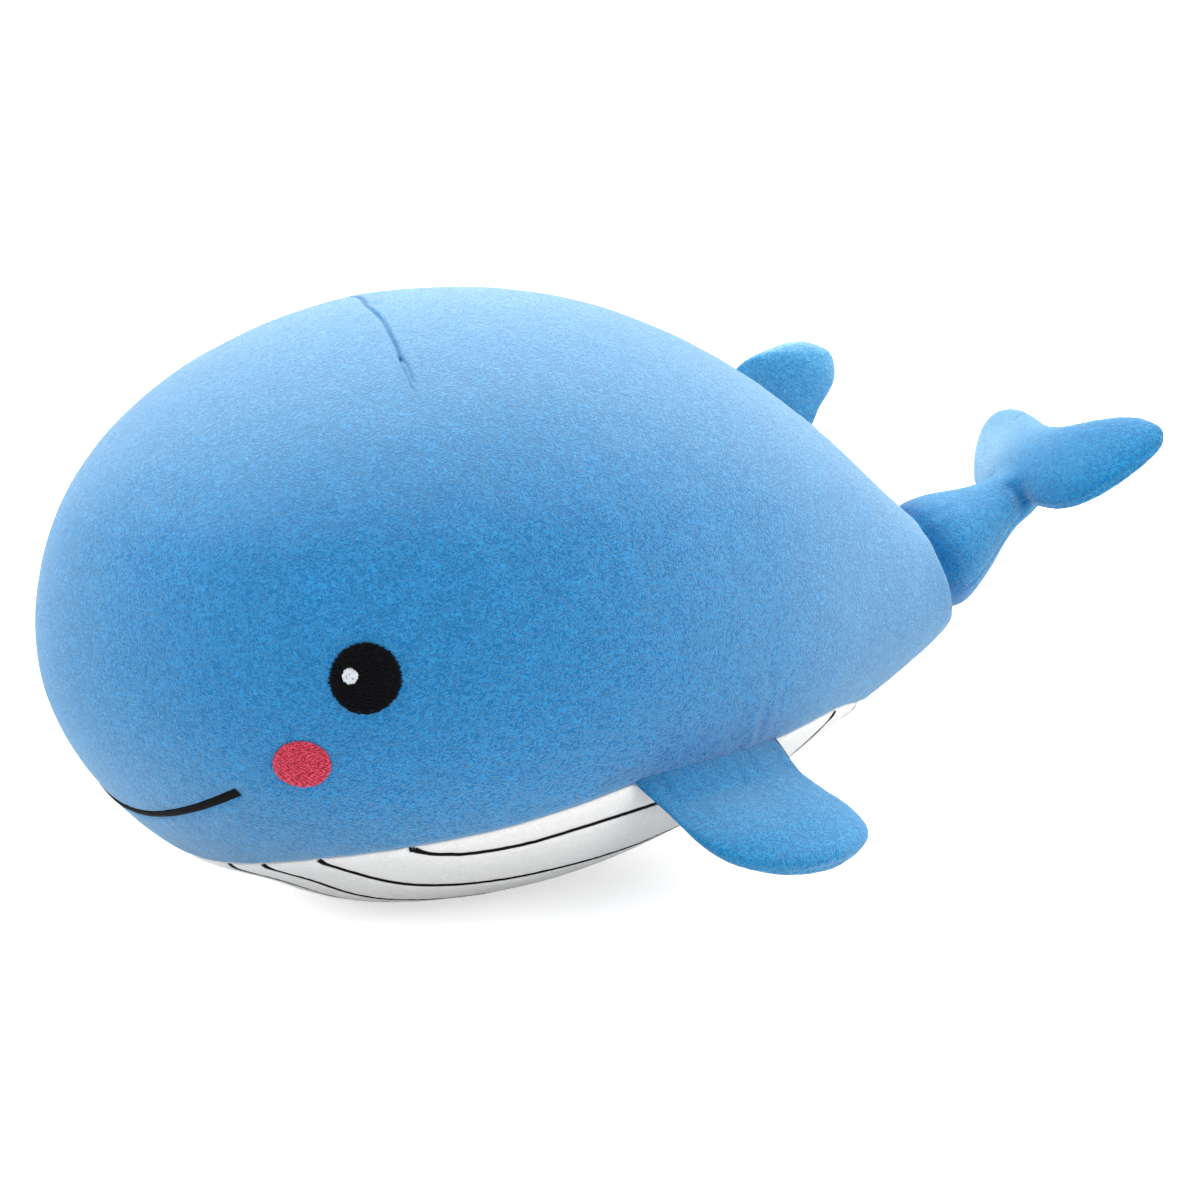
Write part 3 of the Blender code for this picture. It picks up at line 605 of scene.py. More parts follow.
def grid_mesh(name, points, wrap=False):
    """A mesh over a grid of points; wrap joins the last column to the first."""
    rows, cols = points.shape[:2]
    index = np.arange(rows * cols).reshape(rows, cols)
    if wrap:
        index = np.concatenate([index, index[:, :1]], axis=1)
    faces = np.stack([index[:-1, :-1], index[1:, :-1], index[1:, 1:], index[:-1, 1:]], -1).reshape(-1, 4)
    mesh = bpy.data.meshes.new(name)
    mesh.from_pydata(points.reshape(-1, 3).tolist(), [], faces.tolist())
    return reworked(mesh, lambda work: bmesh.ops.remove_doubles(work, verts=work.verts, dist=0.01 * MM))


def grid_normals(points, middle):
    """Outward normals of a grid that wraps round its middle line."""
    along = np.gradient(points, axis=0)
    round_it = np.roll(points, -1, axis=1) - np.roll(points, 1, axis=1)
    normal = unit(np.cross(along, round_it))
    facing = np.sign(((points - middle) * normal).sum(-1, keepdims=True))
    return normal * np.where(facing == 0, 1, facing)


def hemmed(points, normals):
    """The grid with both edge columns folded inward along the seams."""
    def hem(edge, inner, normal):
        back = unit(inner - edge)
        return [edge - depth * normal + HEM_MARGIN * back for depth in HEM_DEPTHS]

    first = hem(points[:, 0], points[:, 2], normals[:, 0])
    last = hem(points[:, -1], points[:, -3], normals[:, -1])
    return np.stack([*first, *np.moveaxis(points, 1, 0), *last[::-1]], 1)


def mesh_points(mesh):
    flat = np.empty(len(mesh.vertices) * 3)
    mesh.vertices.foreach_get("co", flat)
    normals = np.empty(len(mesh.vertices) * 3)
    mesh.vertex_normals.foreach_get("vector", normals)
    return flat.reshape(-1, 3), normals.reshape(-1, 3)


def mark_painted_light(mesh, creases, mark="painted_light"):
    """Marks a share of painted light along creases, each given as path, reach and share: painted shade by
    default, painted sheen on the right fluke.
    """
    points = mesh_points(mesh)[0]
    painted_light = np.zeros(len(points))
    for path, reach, share in creases:
        away, _ = nearest(points, path, 3 * reach)
        painted_light = np.maximum(painted_light, share * np.exp(-((away / reach) ** 2)) * (away < 3 * reach))
    mesh.attributes.new(mark, "FLOAT", "POINT").data.foreach_set("value", painted_light)
    return mesh


# The body's covers

def shared_push(points):
    """What both covers do alike: soft lumps, the seams between them, and the tuck under the chin."""
    push = 0.6 * MM * lumps(points, 60 * MM, 3.7) + 0.18 * MM * lumps(points, 14 * MM, 9.1)
    for side in SIDES:
        push += line_push(points, SEAMS[side], "seam", side)
    x, _, z = np.moveaxis(points - ORIGIN, -1, 0)
    under = smooth_step((-z - CHIN_TUCK_TOP) / CHIN_TUCK_EASE)
    return push + under * groove(x - CHIN_TUCK_X, CHIN_TUCK, CHIN_TUCK_REACH)


def back_push(points):
    push = shared_push(points)
    for side in SIDES:
        away, along = nearest(points, FLIPPER_ROOTS[side], 40 * MM)
        drawn = np.sin(pi * np.clip(along / FLIPPER_ROOT, 0, 1))
        push -= drawn * groove(away, FLIPPER_DRAW, FLIPPER_DRAW_REACH)
        rear = smooth_step(along / FLIPPER_ROOT * 2 - 0.6)
        push += puckers(away, along, *FLIPPER_PUCKERS, 0.8) * (0.1 + 0.9 * rear)
    push += line_push(points, TAIL_RIM, "tail_rim", 2.0) + line_push(points, FIN_BASE, "fin_root", 4.0)
    push += line_push(points, DART, "dart") + line_push(points, MOUTH, "mouth", 3.0)
    for fold in DART_FOLDS + [fold * (1, -1, 1) for fold in DART_FOLDS]:
        push += line_push(points, fold, "dart_fold")
    for rim in PAD_RIMS:
        push += line_push(points, rim, "pad_rim", 1.0)
    return push + groove(np.linalg.norm(points - DIMPLE, axis=-1), *DIMPLE_CREASE)


def belly_push(points):
    push = shared_push(points)
    for place in LINES.values():
        push += line_push(points, body_point(*place), "belly_line", 5.0)
    return push


def on_cloth(place, height, push_of):
    """Points at a height over the dressed surface, and the normals there."""
    points, normals = body_point(*place), body_normal(*place)
    return points + (push_of(points) + height)[..., None] * normals, normals


def cover_grid(turn, left, half_turn, u, push_of):
    """Points and normals of a cover: rows at turn, from the lean of the left edge round to the right edge."""
    lean = left[:, None] + (half_turn - 2 * left)[:, None] * u
    return on_cloth((np.broadcast_to(turn[:, None], lean.shape), lean), 0.0, push_of)


def back_grid(rows=300, cols=430):
    """From the left seam over the back to the right seam; closed below where there is no panel. The rows lie
    closer together at the dart."""
    fine, even = turn_of(np.linspace(DART_FRONT, DART_REAR, 72)), np.linspace(0, pi, rows)
    turn = np.sort(np.concatenate([even[(even < fine[0]) | (even > fine[-1])], fine]))
    x = body_section(turn)[0]
    on_panel = (x > PANEL_X) & (x < PANEL_X + PANEL_LENGTH)
    left = np.where(on_panel, under_place(x, -np.where(on_panel, panel_half_width(x), 0.0))[1], -pi / 2)
    u = np.linspace(0, 1, cols)
    return hemmed(*cover_grid(turn, left, pi, u - 0.07 * np.sin(2 * pi * u), back_push))


def belly_grid(rows=280, cols=260):
    turn = turn_of(panel_xs(rows))
    x = body_section(turn)[0]
    left = under_place(x, -panel_half_width(x))[1]
    points, normals = cover_grid(turn, left, -pi, np.linspace(0, 1, cols), belly_push)
    points[..., 2] = np.maximum(points[..., 2], 0.0)
    return hemmed(points, normals)


def stuffing_grid(inset=5 * MM):
    """The body's loose filling, hollowed where the tail's root turns."""
    lean, turn = np.meshgrid(around(140), np.linspace(0, pi, 110))
    points, _ = on_cloth((turn, lean), -inset, lambda spots: 1.2 * MM * lumps(spots, 22 * MM, 5.5))
    pivot, clear = np.array(TAIL.translation), TAIL_ROOT_RADIUS + 2 * MM
    aside = np.linalg.norm((points - pivot)[..., 1:], axis=-1)
    hollow = pivot[0] - np.sqrt(np.clip(clear**2 - aside**2, 0, None))
    points[..., 0] = np.where(aside < clear, np.minimum(points[..., 0], hollow), points[..., 0])
    return points


# Flippers and fin

def fin_grid(root, span, sweep, thickness, chord_shares, sweep_shares, rows, cols, inset=0.0):
    """A fin's surface in its hinge frame, from a root that reaches into the body out to the tip."""
    turn = np.linspace(0, pi / 2, rows)
    share = turn * 2 / pi
    half_chord = (root / 2 - inset) * np.cos(turn) * share_at(chord_shares, share)
    centre_x = sweep * share_at(sweep_shares, share)
    fullness = np.minimum(1.0, share_at(FULLNESS_SHARES, share)) * np.cos(turn) ** 0.5
    root_half = (ROOT_THICKNESS / 2 - inset / 2) * (turn < pi / 4)
    half_thick = np.maximum(root_half, thickness / 2 * fullness - inset)
    half_thick = np.maximum(half_thick, 0.5 * MM * np.cos(turn))
    z = (span - inset) * np.sin(turn)
    if not inset:
        z = np.concatenate([-ROOT_DEPTH * np.array([1, 0.5]), z])
        half_chord, centre_x, half_thick = (
            np.concatenate([values[:1], values[:1], values]) for values in (half_chord, centre_x, half_thick))
    angle = around(cols)
    x = centre_x[:, None] + half_chord[:, None] * np.cos(angle)
    return stacked(x, half_thick[:, None] * np.sin(angle), z[:, None])


def sewn_on(points, hinge, root, surface, front_x, length_x, fade, drop):
    """Grid points in the row frame, the root carried from the straight hinge line onto the sewn curve."""
    x, y, z = np.moveaxis(points, -1, 0)
    spots = surface(front_x + (x / root + 0.5) * length_x)
    base = placed(stacked(x, 0.0, 0.0), hinge)
    weight = 1 - smooth_step(z / fade)
    flat = stacked(x, y * (1 - 0.15 * weight) - drop * weight, z)
    return placed(flat, hinge) + weight[..., None] * (spots - base)


def limb_push(points, rim, root_path, seed):
    push = 0.45 * MM * lumps(points, 20 * MM, seed) + 0.15 * MM * lumps(points, 7 * MM, seed + 4)
    push += line_push(points, rim, "limb_rim", seed)
    return push + line_push(points, root_path, "limb_root", seed + 1)


def limb_piece(name, mesh, material, body, start, end, slot, *nodes):
    """A padded piece in place of the nodes, which it hides; body, start and end are not used."""
    obj = new_object(name, mesh, material)
    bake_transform(obj)
    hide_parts(*nodes)


def make_limb(name, hinge, bend, sizes, sewn, counts, skins, root_path, root_shade, seed, cloth):
    """A flipper or the fin. Counts are rows and columns of cover and stuffing; skins give each one's word and
    whether it has the first half."""
    ends = hinge.translation, hinge.translation + bend * (hinge.to_3x3() @ Vector((0, 0, 1)))
    grid = sewn(fin_grid(*sizes, *counts[0]))
    middle = grid.mean(axis=1, keepdims=True)
    half = grid.shape[1] // 2
    rim = np.concatenate([grid[2:, 0], grid[::-1, half][:-2]])
    grid = grid + limb_push(grid, rim, root_path, seed)[..., None] * grid_normals(grid, middle)
    wrapped = np.concatenate([grid, grid[:, :1]], axis=1)
    for word, first in skins.items():
        part = wrapped[:, :half + 1] if first else wrapped[:, half:]
        # Painted shade on the cover's pile along the limb's root
        mesh = mark_painted_light(grid_mesh(f"{name}_{word}_cover", part), [(root_path, *root_shade)])
        limb_piece(mesh.name, mesh, cloth, name, *ends, "blue_velvet", f"{name}_{word}_skin")
    points = sewn(fin_grid(*sizes, *counts[1], inset=LIMB_STUFFING_INSET))
    mesh = grid_mesh(f"{name}_stuffing", points, wrap=True)
    limb_piece(mesh.name, mesh, FIBRE, name, *ends, "fibre_filling", f"{name}_filling")


def make_limbs():
    sizes = (FLIPPER_ROOT, FLIPPER_SPAN, FLIPPER_SWEEP, FLIPPER_THICKNESS, FLIPPER_CHORD_SHARES,
             FLIPPER_SWEEP_SHARES)
    for word, side in (("left", LEFT), ("right", RIGHT)):
        hinge = flipper_hinge(side)

        def sewn(points):
            return sewn_on(points, hinge, FLIPPER_ROOT, lambda x: seam_point(x, side),
                           FLIPPER_X - FLIPPER_ROOT_SPREAD, FLIPPER_ROOT + FLIPPER_ROOT_SPREAD,
                           FLIPPER_SEWN_REACH, -side * FLIPPER_DROP)

        make_limb(f"{word}_flipper", hinge, FLIPPER_BEND, sizes, sewn, ((100, 150), (40, 60)),
                  {"top": side == LEFT, "under": side == RIGHT}, FLIPPER_ROOTS[side], FLIPPER_SHADE, 3.0,
                  LIMB_BLUE)
    hinge = fin_hinge()

    def sewn_fin(points):
        return sewn_on(points, hinge, FIN_ROOT, back_point, FIN_X, FIN_LENGTH, FIN_SEWN_REACH, 0.0)

    sizes = (FIN_ROOT, FIN_SPAN, FIN_SWEEP, FIN_THICKNESS, FIN_CHORD_SHARES, FIN_SWEEP_SHARES)
    make_limb("back_fin", hinge, FIN_BEND, sizes, sewn_fin, ((70, 120), (30, 48)),
              {"right": True, "left": False}, FIN_BASE, FIN_SHADE, 7.0, FIN_BLUE)


# Materials

def feed(tree, socket, value):
    """Links the socket to another one, or sets it."""
    if isinstance(value, bpy.types.NodeSocket):
        tree.links.new(value, socket)
    else:
        socket.default_value = value


def feed_all(tree, node, **values):
    """Feeds a node's sockets by name; underscores stand for spaces."""
    for name, value in values.items():
        feed(tree, node.inputs[name.replace("_", " ")], value)
    return node


def add_node(tree, kind, **values):
    return feed_all(tree, tree.nodes.new("ShaderNode" + kind), **values)


def computed(tree, operation, *values):
    node = add_node(tree, "Math")
    node.operation = operation
    for socket, value in zip(node.inputs, values):
        feed(tree, socket, value)
    return node.outputs[0]


def ranged(tree, value, low, high, to_low, to_high):
    node = add_node(tree, "MapRange", Value=value, From_Min=low, From_Max=high, To_Min=to_low, To_Max=to_high)
    return node.outputs["Result"]


def noisy(tree, place, scale, **values):
    return add_node(tree, "TexNoise", Vector=place, Scale=scale, **values).outputs["Fac"]


def bumped(tree, height, strength, distance, **values):
    return add_node(
        tree, "Bump", Height=height, Strength=strength, Distance=distance, **values).outputs["Normal"]


def stored(tree, name):
    """The mesh's own value of that name, or zero."""
    node = add_node(tree, "Attribute")
    node.attribute_name = name
    return node.outputs["Fac"]


def ramp(tree, factor, low, high, dark, light):
    node = add_node(tree, "ValToRGB", Fac=factor)
    for element, position, colour in zip(node.color_ramp.elements, (low, high), (dark, light)):
        element.position = position
        element.color = (*colour, 1)
    return node.outputs["Color"]


def blended(tree, mode, factor, first, second):
    node = add_node(tree, "Mix")
    node.data_type, node.blend_type = "RGBA", mode
    for index, value in ((0, factor), (6, first), (7, second)):
        feed(tree, node.inputs[index], value)
    return node.outputs[2]


def new_material(name, **values):
    """A material with its tree, its shader and the place on the object."""
    material = bpy.data.materials.new(name)
    material.use_nodes = True
    tree = material.node_tree
    shader = feed_all(tree, tree.nodes["Principled BSDF"], **values)
    return material, tree, shader, add_node(tree, "TexCoord").outputs["Object"]


# Painted shade multiplies the colour by a darker tint along creases and roots; painted sheen replaces it with
# a paler blue
PAINTED_SHADE_TINT = (0.30, 0.66, 0.80, 1)
PAINTED_SHEEN_COLOUR = (0.42, 0.66, 0.84, 1)
SHEEN_TINT = (0.80, 0.97, 1.0, 1)
TUFT_RIDGE, TOP_HIGHLIGHT_START = 0.11, 0.40


def velvet(name, deep, pale, top_highlight_share, sheen, top_highlight=(0.32, 0.51, 0.69), grain=(500, 660, 660), depth=0.9,
           patch=0.05):
    """Short pile: wavy tufts, uneven patches, a painted top highlight that pales the colour where the surface
    faces upward, and the mesh's marks of painted shade and painted sheen.
    """
    material, tree, shader, place = new_material(
        name, Roughness=0.9, Specular_IOR_Level=0.1, Sheen_Weight=sheen, Sheen_Roughness=0.5,
        Sheen_Tint=SHEEN_TINT)
    along = add_node(tree, "Mapping", Vector=place, Scale=grain).outputs["Vector"]
    waves = noisy(tree, along, 1.0, Detail=1.5, Distortion=1.2)
    from_ridge = computed(tree, "ABSOLUTE", computed(tree, "SUBTRACT", waves, 0.5))
    tufts = ranged(tree, from_ridge, 0.0, TUFT_RIDGE, 1.0, 0.0)
    patches = noisy(tree, place, 42.0, Detail=3.0, Roughness=0.65, Distortion=0.6)
    colour = ramp(tree, tufts, 0.0, 1.0, deep, pale)
    shade = ramp(tree, patches, 0.30, 0.70, (1 - patch,) * 3, (1 + patch,) * 3)
    colour = blended(tree, "MULTIPLY", 1.0, colour, shade)
    normal = add_node(tree, "NewGeometry").outputs["Normal"]
    # Painted top highlight: the colour mixed toward a paler tint the more the surface faces upward
    upward = add_node(tree, "SeparateXYZ", Vector=normal).outputs["Z"]
    top_highlight_mask = ranged(tree, upward, TOP_HIGHLIGHT_START, 1.0, 0.0, top_highlight_share)
    colour = blended(tree, "MIX", top_highlight_mask, colour, (*top_highlight, 1))
    # Painted sheen: the colour replaced by a paler blue by the mesh's stored share on the right fluke
    colour = blended(tree, "MIX", stored(tree, "painted_sheen"), colour, PAINTED_SHEEN_COLOUR)
    # Painted shade: a darker colour mixed in by the mesh's stored share along creases and roots
    darker = blended(tree, "MULTIPLY", 1.0, colour, PAINTED_SHADE_TINT)
    colour = blended(tree, "MIX", stored(tree, "painted_light"), colour, darker)
    low = bumped(tree, noisy(tree, place, 190.0, Detail=1.0), 0.35, 0.6 * MM)
    feed_all(tree, shader, Base_Color=colour, Normal=bumped(tree, tufts, depth, 0.25 * MM, Normal=low))
    return material


def thread(name, dark, light, specular, fineness=1500.0):
    """Twisted embroidery thread with a low gloss."""
    material, tree, shader, place = new_material(name, Roughness=0.5, Specular_IOR_Level=specular)
    strands = noisy(tree, place, fineness, Detail=2.0)
    colour = ramp(tree, strands, 0.35, 0.65, dark, light)
    feed_all(tree, shader, Base_Color=colour, Normal=bumped(tree, strands, 0.4, 0.1 * MM))
    return material


def loose_fibre(name):
    material, tree, shader, place = new_material(
        name, Roughness=0.95, Specular_IOR_Level=0.1, Sheen_Weight=0.4)
    wisps = noisy(tree, place, 160.0, Detail=6.0, Distortion=3.0)
    colour = ramp(tree, wisps, 0.3, 0.7, (0.78, 0.78, 0.77), (0.93, 0.93, 0.92))
    feed_all(tree, shader, Base_Color=colour, Normal=bumped(tree, wisps, 0.8, 1.5 * MM))
    return material


# One blue velvet in three copies with different painted light: the limb copy has less painted top highlight,
# and the fin copy is painted paler all over, as if lit more
BLUE = velvet("blue_velvet_pile", (0.002, 0.138, 0.358), (0.022, 0.258, 0.575), 0.38, 0.60)
LIMB_BLUE = velvet("limb_velvet_pile", (0.002, 0.150, 0.375), (0.018, 0.275, 0.560), 0.10, 0.45)
FIN_BLUE = velvet("painted_lit_velvet_pile", (0.042, 0.275, 0.560), (0.110, 0.445, 0.740), 0.45, 0.50)
WHITE = velvet("white_velvet_pile", (0.72, 0.715, 0.705), (0.79, 0.785, 0.775), 0.5, 0.08,
               top_highlight=(0.78, 0.78, 0.78), grain=(400, 500, 500), depth=0.15, patch=0.010)
BLACK = thread("black_embroidery", (0.002, 0.002, 0.003), (0.006, 0.006, 0.007), 0.04)
GLINT = thread("white_embroidery", (0.57, 0.61, 0.66), (0.71, 0.74, 0.79), 0.3)
PINK = thread("pink_embroidery", (0.38, 0.012, 0.034), (0.78, 0.072, 0.140), 0.35, 1100.0)
FIBRE = loose_fibre("loose_fibre")


# Pieces

def body_piece(mesh, material, slot, *nodes):
    """An object that rides on the whale's body in place of the nodes."""
    obj = new_object(mesh.name, mesh, material)
    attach(obj, WHALE)
    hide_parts(*nodes)
    return obj


def make_body():
    back, belly = grid_mesh("back_cover", back_grid()), grid_mesh("belly_cover", belly_grid())
    # Painted shade on the back cover's pile above each flipper's root
    mark_painted_light(back, [(path, *FLIPPER_ROOT_SHADE) for path in FLIPPER_ROOTS.values()])
    stuffing = grid_mesh("body_stuffing", stuffing_grid(), wrap=True)
    for piece in ((back, BLUE, "blue_velvet", "back_skin"), (belly, WHITE, "white_velvet", "belly_skin"),
                  (stuffing, FIBRE, "fibre_filling", "body_filling")):
        obj = body_piece(*piece)


def tail_mesh(name, inset, voxel, rounds):
    """Stem and flukes joined in one soft form."""
    angle = around(96)[None, :]
    ball = -(TAIL_ROOT_RADIUS - inset) * np.cos(np.linspace(0, pi / 2, 14))
    shaft = STEM_LENGTH * np.linspace(0, 1, 60)[1:]
    tip_turn = np.linspace(0, pi / 2, 12)[1:, None]
    stem = stem_ring(np.concatenate([ball, shaft])[:, None], angle, inset)
    half_thick, half_width = stem_half_sizes(STEM_LENGTH, inset)
    tip_z = STEM_LENGTH + (STEM_TIP_LENGTH - inset) * np.sin(tip_turn)
    round_off = np.cos(tip_turn)
    tip = stacked(half_thick * round_off * np.cos(angle), half_width * round_off * np.sin(angle), tip_z)
    flukes = fluke_ring(np.linspace(-pi / 2, pi / 2, 140)[:, None] * (1 - 1e-6), angle, inset)
    objects = []
    for part, points in ((name, np.concatenate([stem, tip])), (name + "_flukes", flukes)):
        mesh = grid_mesh(part, in_tail(points), wrap=True)
        reworked(mesh, lambda work: bmesh.ops.recalc_face_normals(work, faces=work.faces))
        objects.append(linked(part, mesh))
    join = objects[0].modifiers.new("join", "BOOLEAN")
    join.operation, join.object = "UNION", objects[1]
    even = objects[0].modifiers.new("even", "REMESH")
    even.mode, even.voxel_size = "VOXEL", voxel
    soften = objects[0].modifiers.new("soften", "SMOOTH")
    soften.factor, soften.iterations = 0.5, rounds
    bpy.context.view_layer.update()
    finished = objects[0].evaluated_get(bpy.context.evaluated_depsgraph_get())
    mesh = bpy.data.meshes.new_from_object(finished)
    for obj in objects:
        bpy.data.objects.remove(obj)
    return mesh


def soften_waist(mesh, points, rounds=70, reach=12 * MM):
    """The points, evened out where the stem runs into the flukes."""
    ends = np.empty(len(mesh.edges) * 2, int)
    mesh.edges.foreach_get("vertices", ends)
    first, second = ends.reshape(-1, 2).T

    def gathered(values):
        """At each point, the sum over its neighbours."""
        size = len(points)
        return np.bincount(first, values[second], size) + np.bincount(second, values[first], size)

    count = gathered(np.ones(len(points)))[:, None]
    waist = in_tail(np.array([[0, 0, STEM_LENGTH + 4 * MM]]))
    weight = 0.5 * np.exp(-(np.linalg.norm(points - waist, axis=1, keepdims=True) / reach) ** 4)
    for _ in range(rounds):
        total = np.stack([gathered(column) for column in points.T], -1)
        points = points + weight * (total / count - points)
    return points


def tail_push(points):
    push = 0.4 * MM * lumps(points, 24 * MM, 2.2) + 0.12 * MM * lumps(points, 8 * MM, 6.6)
    for seed, path in enumerate(tail_seams()):
        push += line_push(points, path, "tail_seam", seed)
    for path, kind in zip(tail_folds(), ("stem_fold", "stem_fold", "notch_fold")):
        push += line_push(points, path, kind)
    push += line_push(points, TAIL_RIM, "stem_root", 1.3)
    for side in SIDES:
        tip = in_tail(fluke_ring(np.array([side * 1.42]), np.array([0.15 * pi])))[0]
        push += groove(np.linalg.norm(points - tip, axis=-1), *FLUKE_TIP_CREASE)
    return push


def make_tail():
    outward = TAIL.to_3x3() @ Vector((0, 0, 1))
    start = TAIL.translation + STEM_BEND_START * outward
    ends = start, start + STEM_BEND * outward
    mesh = tail_mesh("tail_cover", 0.0, 0.9 * MM, 14)
    mesh.vertices.foreach_set("co", soften_waist(mesh, mesh_points(mesh)[0]).ravel())
    mesh.update()
    points, normals = mesh_points(mesh)
    mesh.vertices.foreach_set("co", (points + tail_push(points)[:, None] * normals).ravel())
    # Painted shade on the pile round the tail's rim and in the stem's folds
    stem_folds = [(fold, *STEM_FOLD_SHADE) for fold in tail_folds()[:2]]
    mark_painted_light(mesh, [(TAIL_RIM, *TAIL_RIM_SHADE)] + stem_folds)
    # Painted sheen: the right fluke's pile painted paler, as if lit more, along a line across it
    right_fluke = in_tail(fluke_ring(np.linspace(0.6, 1.5, 40), np.full(40, pi / 2)))
    mark_painted_light(mesh, [(right_fluke, *RIGHT_FLUKE_SHEEN)], "painted_sheen")
    limb_piece("tail_cover", mesh, LIMB_BLUE, "tail", *ends, "blue_velvet", "tail_top_skin",
               "tail_under_skin")
    mesh = tail_mesh("tail_stuffing", TAIL_STUFFING_INSET, 2 * MM, 4)
    limb_piece("tail_stuffing", mesh, FIBRE, "tail", *ends, "fibre_filling", "tail_filling")


# Stitching

def thread_mesh(name, starts, ends, normals, width, height, sides):
    """Many short stitches in one mesh, each an arched, tapered thread from its start to its end."""
    along = ends - starts
    across = unit(np.cross(along, normals))
    shares = np.array([0.0, 0.12, 0.5, 0.88, 1.0])
    girth = np.array([0.35, 0.85, 1.0, 0.85, 0.35])
    rise = np.array([-0.5, 0.5, 1.0, 0.5, -0.5]) * height
    angle = 2 * pi * np.arange(sides) / sides
    middle = starts[:, None] + along[:, None] * shares[:, None] + normals[:, None] * rise[:, None]
    ring = (across[:, None, None] * (np.cos(angle) * width / 2)[:, None]
            + normals[:, None, None] * (np.sin(angle) * height / 2)[:, None])
    points = middle[:, :, None] + ring * girth[:, None, None]
    index = np.arange(points.size // 3).reshape(points.shape[:3])
    after = np.roll(index, -1, axis=2)
    quads = np.stack([index[:, :-1], index[:, 1:], after[:, 1:], after[:, :-1]], -1).reshape(-1, 4)
    mesh = bpy.data.meshes.new(name)
    caps = index[:, 0].tolist() + index[:, -1, ::-1].tolist()
    mesh.from_pydata(points.reshape(-1, 3).tolist(), [], quads.tolist() + caps)
    return mesh


def pad_mesh(name, pad, side, base, dome, spacing, stitch, slant, seed):
    """An oval filled with rows of staggered stitches over a domed underlay."""
    x, z, half_length, half_height = pad
    draw = np.random.default_rng(seed)

    def place(u, v):
        across = half_length * (u * cos(slant) - v * sin(slant))
        up = half_height * (u * sin(slant) + v * cos(slant))
        return pad_place(x, z, side, across, up)

    pairs = []
    step = spacing / half_height
    for number, v in enumerate(np.arange(-1 + step / 2, 1, step)):
        chord = np.sqrt(max(0.0, 1 - v * v)) + draw.uniform(-0.35, 0.6) * MM / half_length
        share = stitch / half_length
        cuts = np.arange(-chord + share * (0.3 + (0.382 * number) % 1), chord - 0.3 * share, share)
        marks = np.concatenate([[-chord], cuts + draw.uniform(-0.1, 0.1, len(cuts)) * share, [chord]])
        pairs += [(a, b, v) for a, b in zip(marks[:-1], marks[1:])]
    a, b, v = np.array(pairs).T

    def height(u):
        return base + dome * np.clip(1 - u * u - v * v, 0, 1)

    starts, _ = on_cloth(place(a, v), height(a), back_push)
    ends, _ = on_cloth(place(b, v), height(b), back_push)
    normals = body_normal(*place((a + b) / 2, v))
    lift = (height((a + b) / 2) - (height(a) + height(b)) / 2)[:, None] * normals
    threads = thread_mesh(name, starts + lift / 2, ends + lift / 2, normals, 1.15 * spacing, 0.45 * MM, 6)
    radius, angle = np.meshgrid(np.linspace(0, 0.97, 14), around(72), indexing="ij")
    under = base - 0.15 * MM + dome * (1 - radius**2) - 0.5 * MM * (radius > 0.93)
    disc, _ = on_cloth(place(radius * np.cos(angle), radius * np.sin(angle)), under, back_push)
    underlay = grid_mesh(name + "_underlay", disc, wrap=True)
    return reworked(threads, lambda work: work.from_mesh(underlay))


def satin_line(name, place, widths, spacing, height, push_of, sides, seed):
    """Close stitches laid across a line."""
    draw = np.random.default_rng(seed)
    turn, lean = place
    line = body_point(turn, lean)
    travel = travelled(line)
    spots = np.arange(spacing / 2, travel[-1], spacing)
    turn, lean = np.interp(spots, travel, turn), np.interp(spots, travel, lean)
    width = np.interp(spots, travel, widths) + draw.uniform(-0.12, 0.12, len(spots)) * MM
    middle, normals = on_cloth((turn, lean), 0.25 * MM, push_of)
    ahead = unit(np.gradient(middle, axis=0))
    across = unit(np.cross(ahead, normals)) + 0.08 * ahead
    half = across * (width / 2)[:, None]
    return thread_mesh(name, middle - half, middle + half, normals, 1.25 * spacing, height, sides)


def make_stitching():
    glint = (EYE_X - GLINT_FORWARD_SHARE * EYE_RADIUS, EYE_ABOVE_AXIS + GLINT_UP_SHARE * EYE_RADIUS,
             GLINT_RADIUS, GLINT_RADIUS)
    # pad; base, dome, spacing and stitch length in millimetres; slant
    pads = (("eye", PADS["eye"], (0.3, 0.8, 0.42, 7), radians(4), BLACK, "black_thread"),
            ("eye_glint", glint, (1.2, 0.25, 0.4, 7), radians(75), GLINT, "white_thread"),
            ("cheek", PADS["cheek"], (0.3, 0.7, 0.40, 2.6), radians(12), PINK, "pink_thread"))
    for word, side in (("left", LEFT), ("right", RIGHT)):
        for part, pad, lengths, slant, material, slot in pads:
            name = f"{word}_{part}"
            mesh = pad_mesh(name + "_stitches", pad, side, *np.array(lengths) * MM, slant, seed=len(name))
            body_piece(mesh, material, slot, name)
        for number in range(1, len(BELLY_LINE_SHARES) + 1):
            name, place = f"{word}_belly_line_{number}", LINES[side, number]
            line = body_point(*place)
            away = np.linalg.norm(line - line[0], axis=1)
            ends = [0, BELLY_LINE_END_LENGTH, away[-1] - 4 * BELLY_LINE_END_LENGTH, away[-1]]
            threads = [BELLY_LINE_END_THREAD, BELLY_LINE_THREAD, BELLY_LINE_THREAD, BELLY_LINE_REAR_THREAD]
            widths = np.interp(away, ends, threads)
            mesh = satin_line(name + "_stitches", place, widths, 0.6 * MM, 0.5 * MM, belly_push, 5, number)
            body_piece(mesh, BLACK, "black_thread", name)
    share = np.abs(np.linspace(-1, 1, len(MOUTH_PLACE[0])))
    widths = MOUTH_MIDDLE_THREAD + share * (MOUTH_CORNER_THREAD - MOUTH_MIDDLE_THREAD)
    mesh = satin_line("mouth_stitches", MOUTH_PLACE, widths, 0.4 * MM, 0.6 * MM, back_push, 6, 11)
    body_piece(mesh, BLACK, "black_thread", "mouth")


# Studio

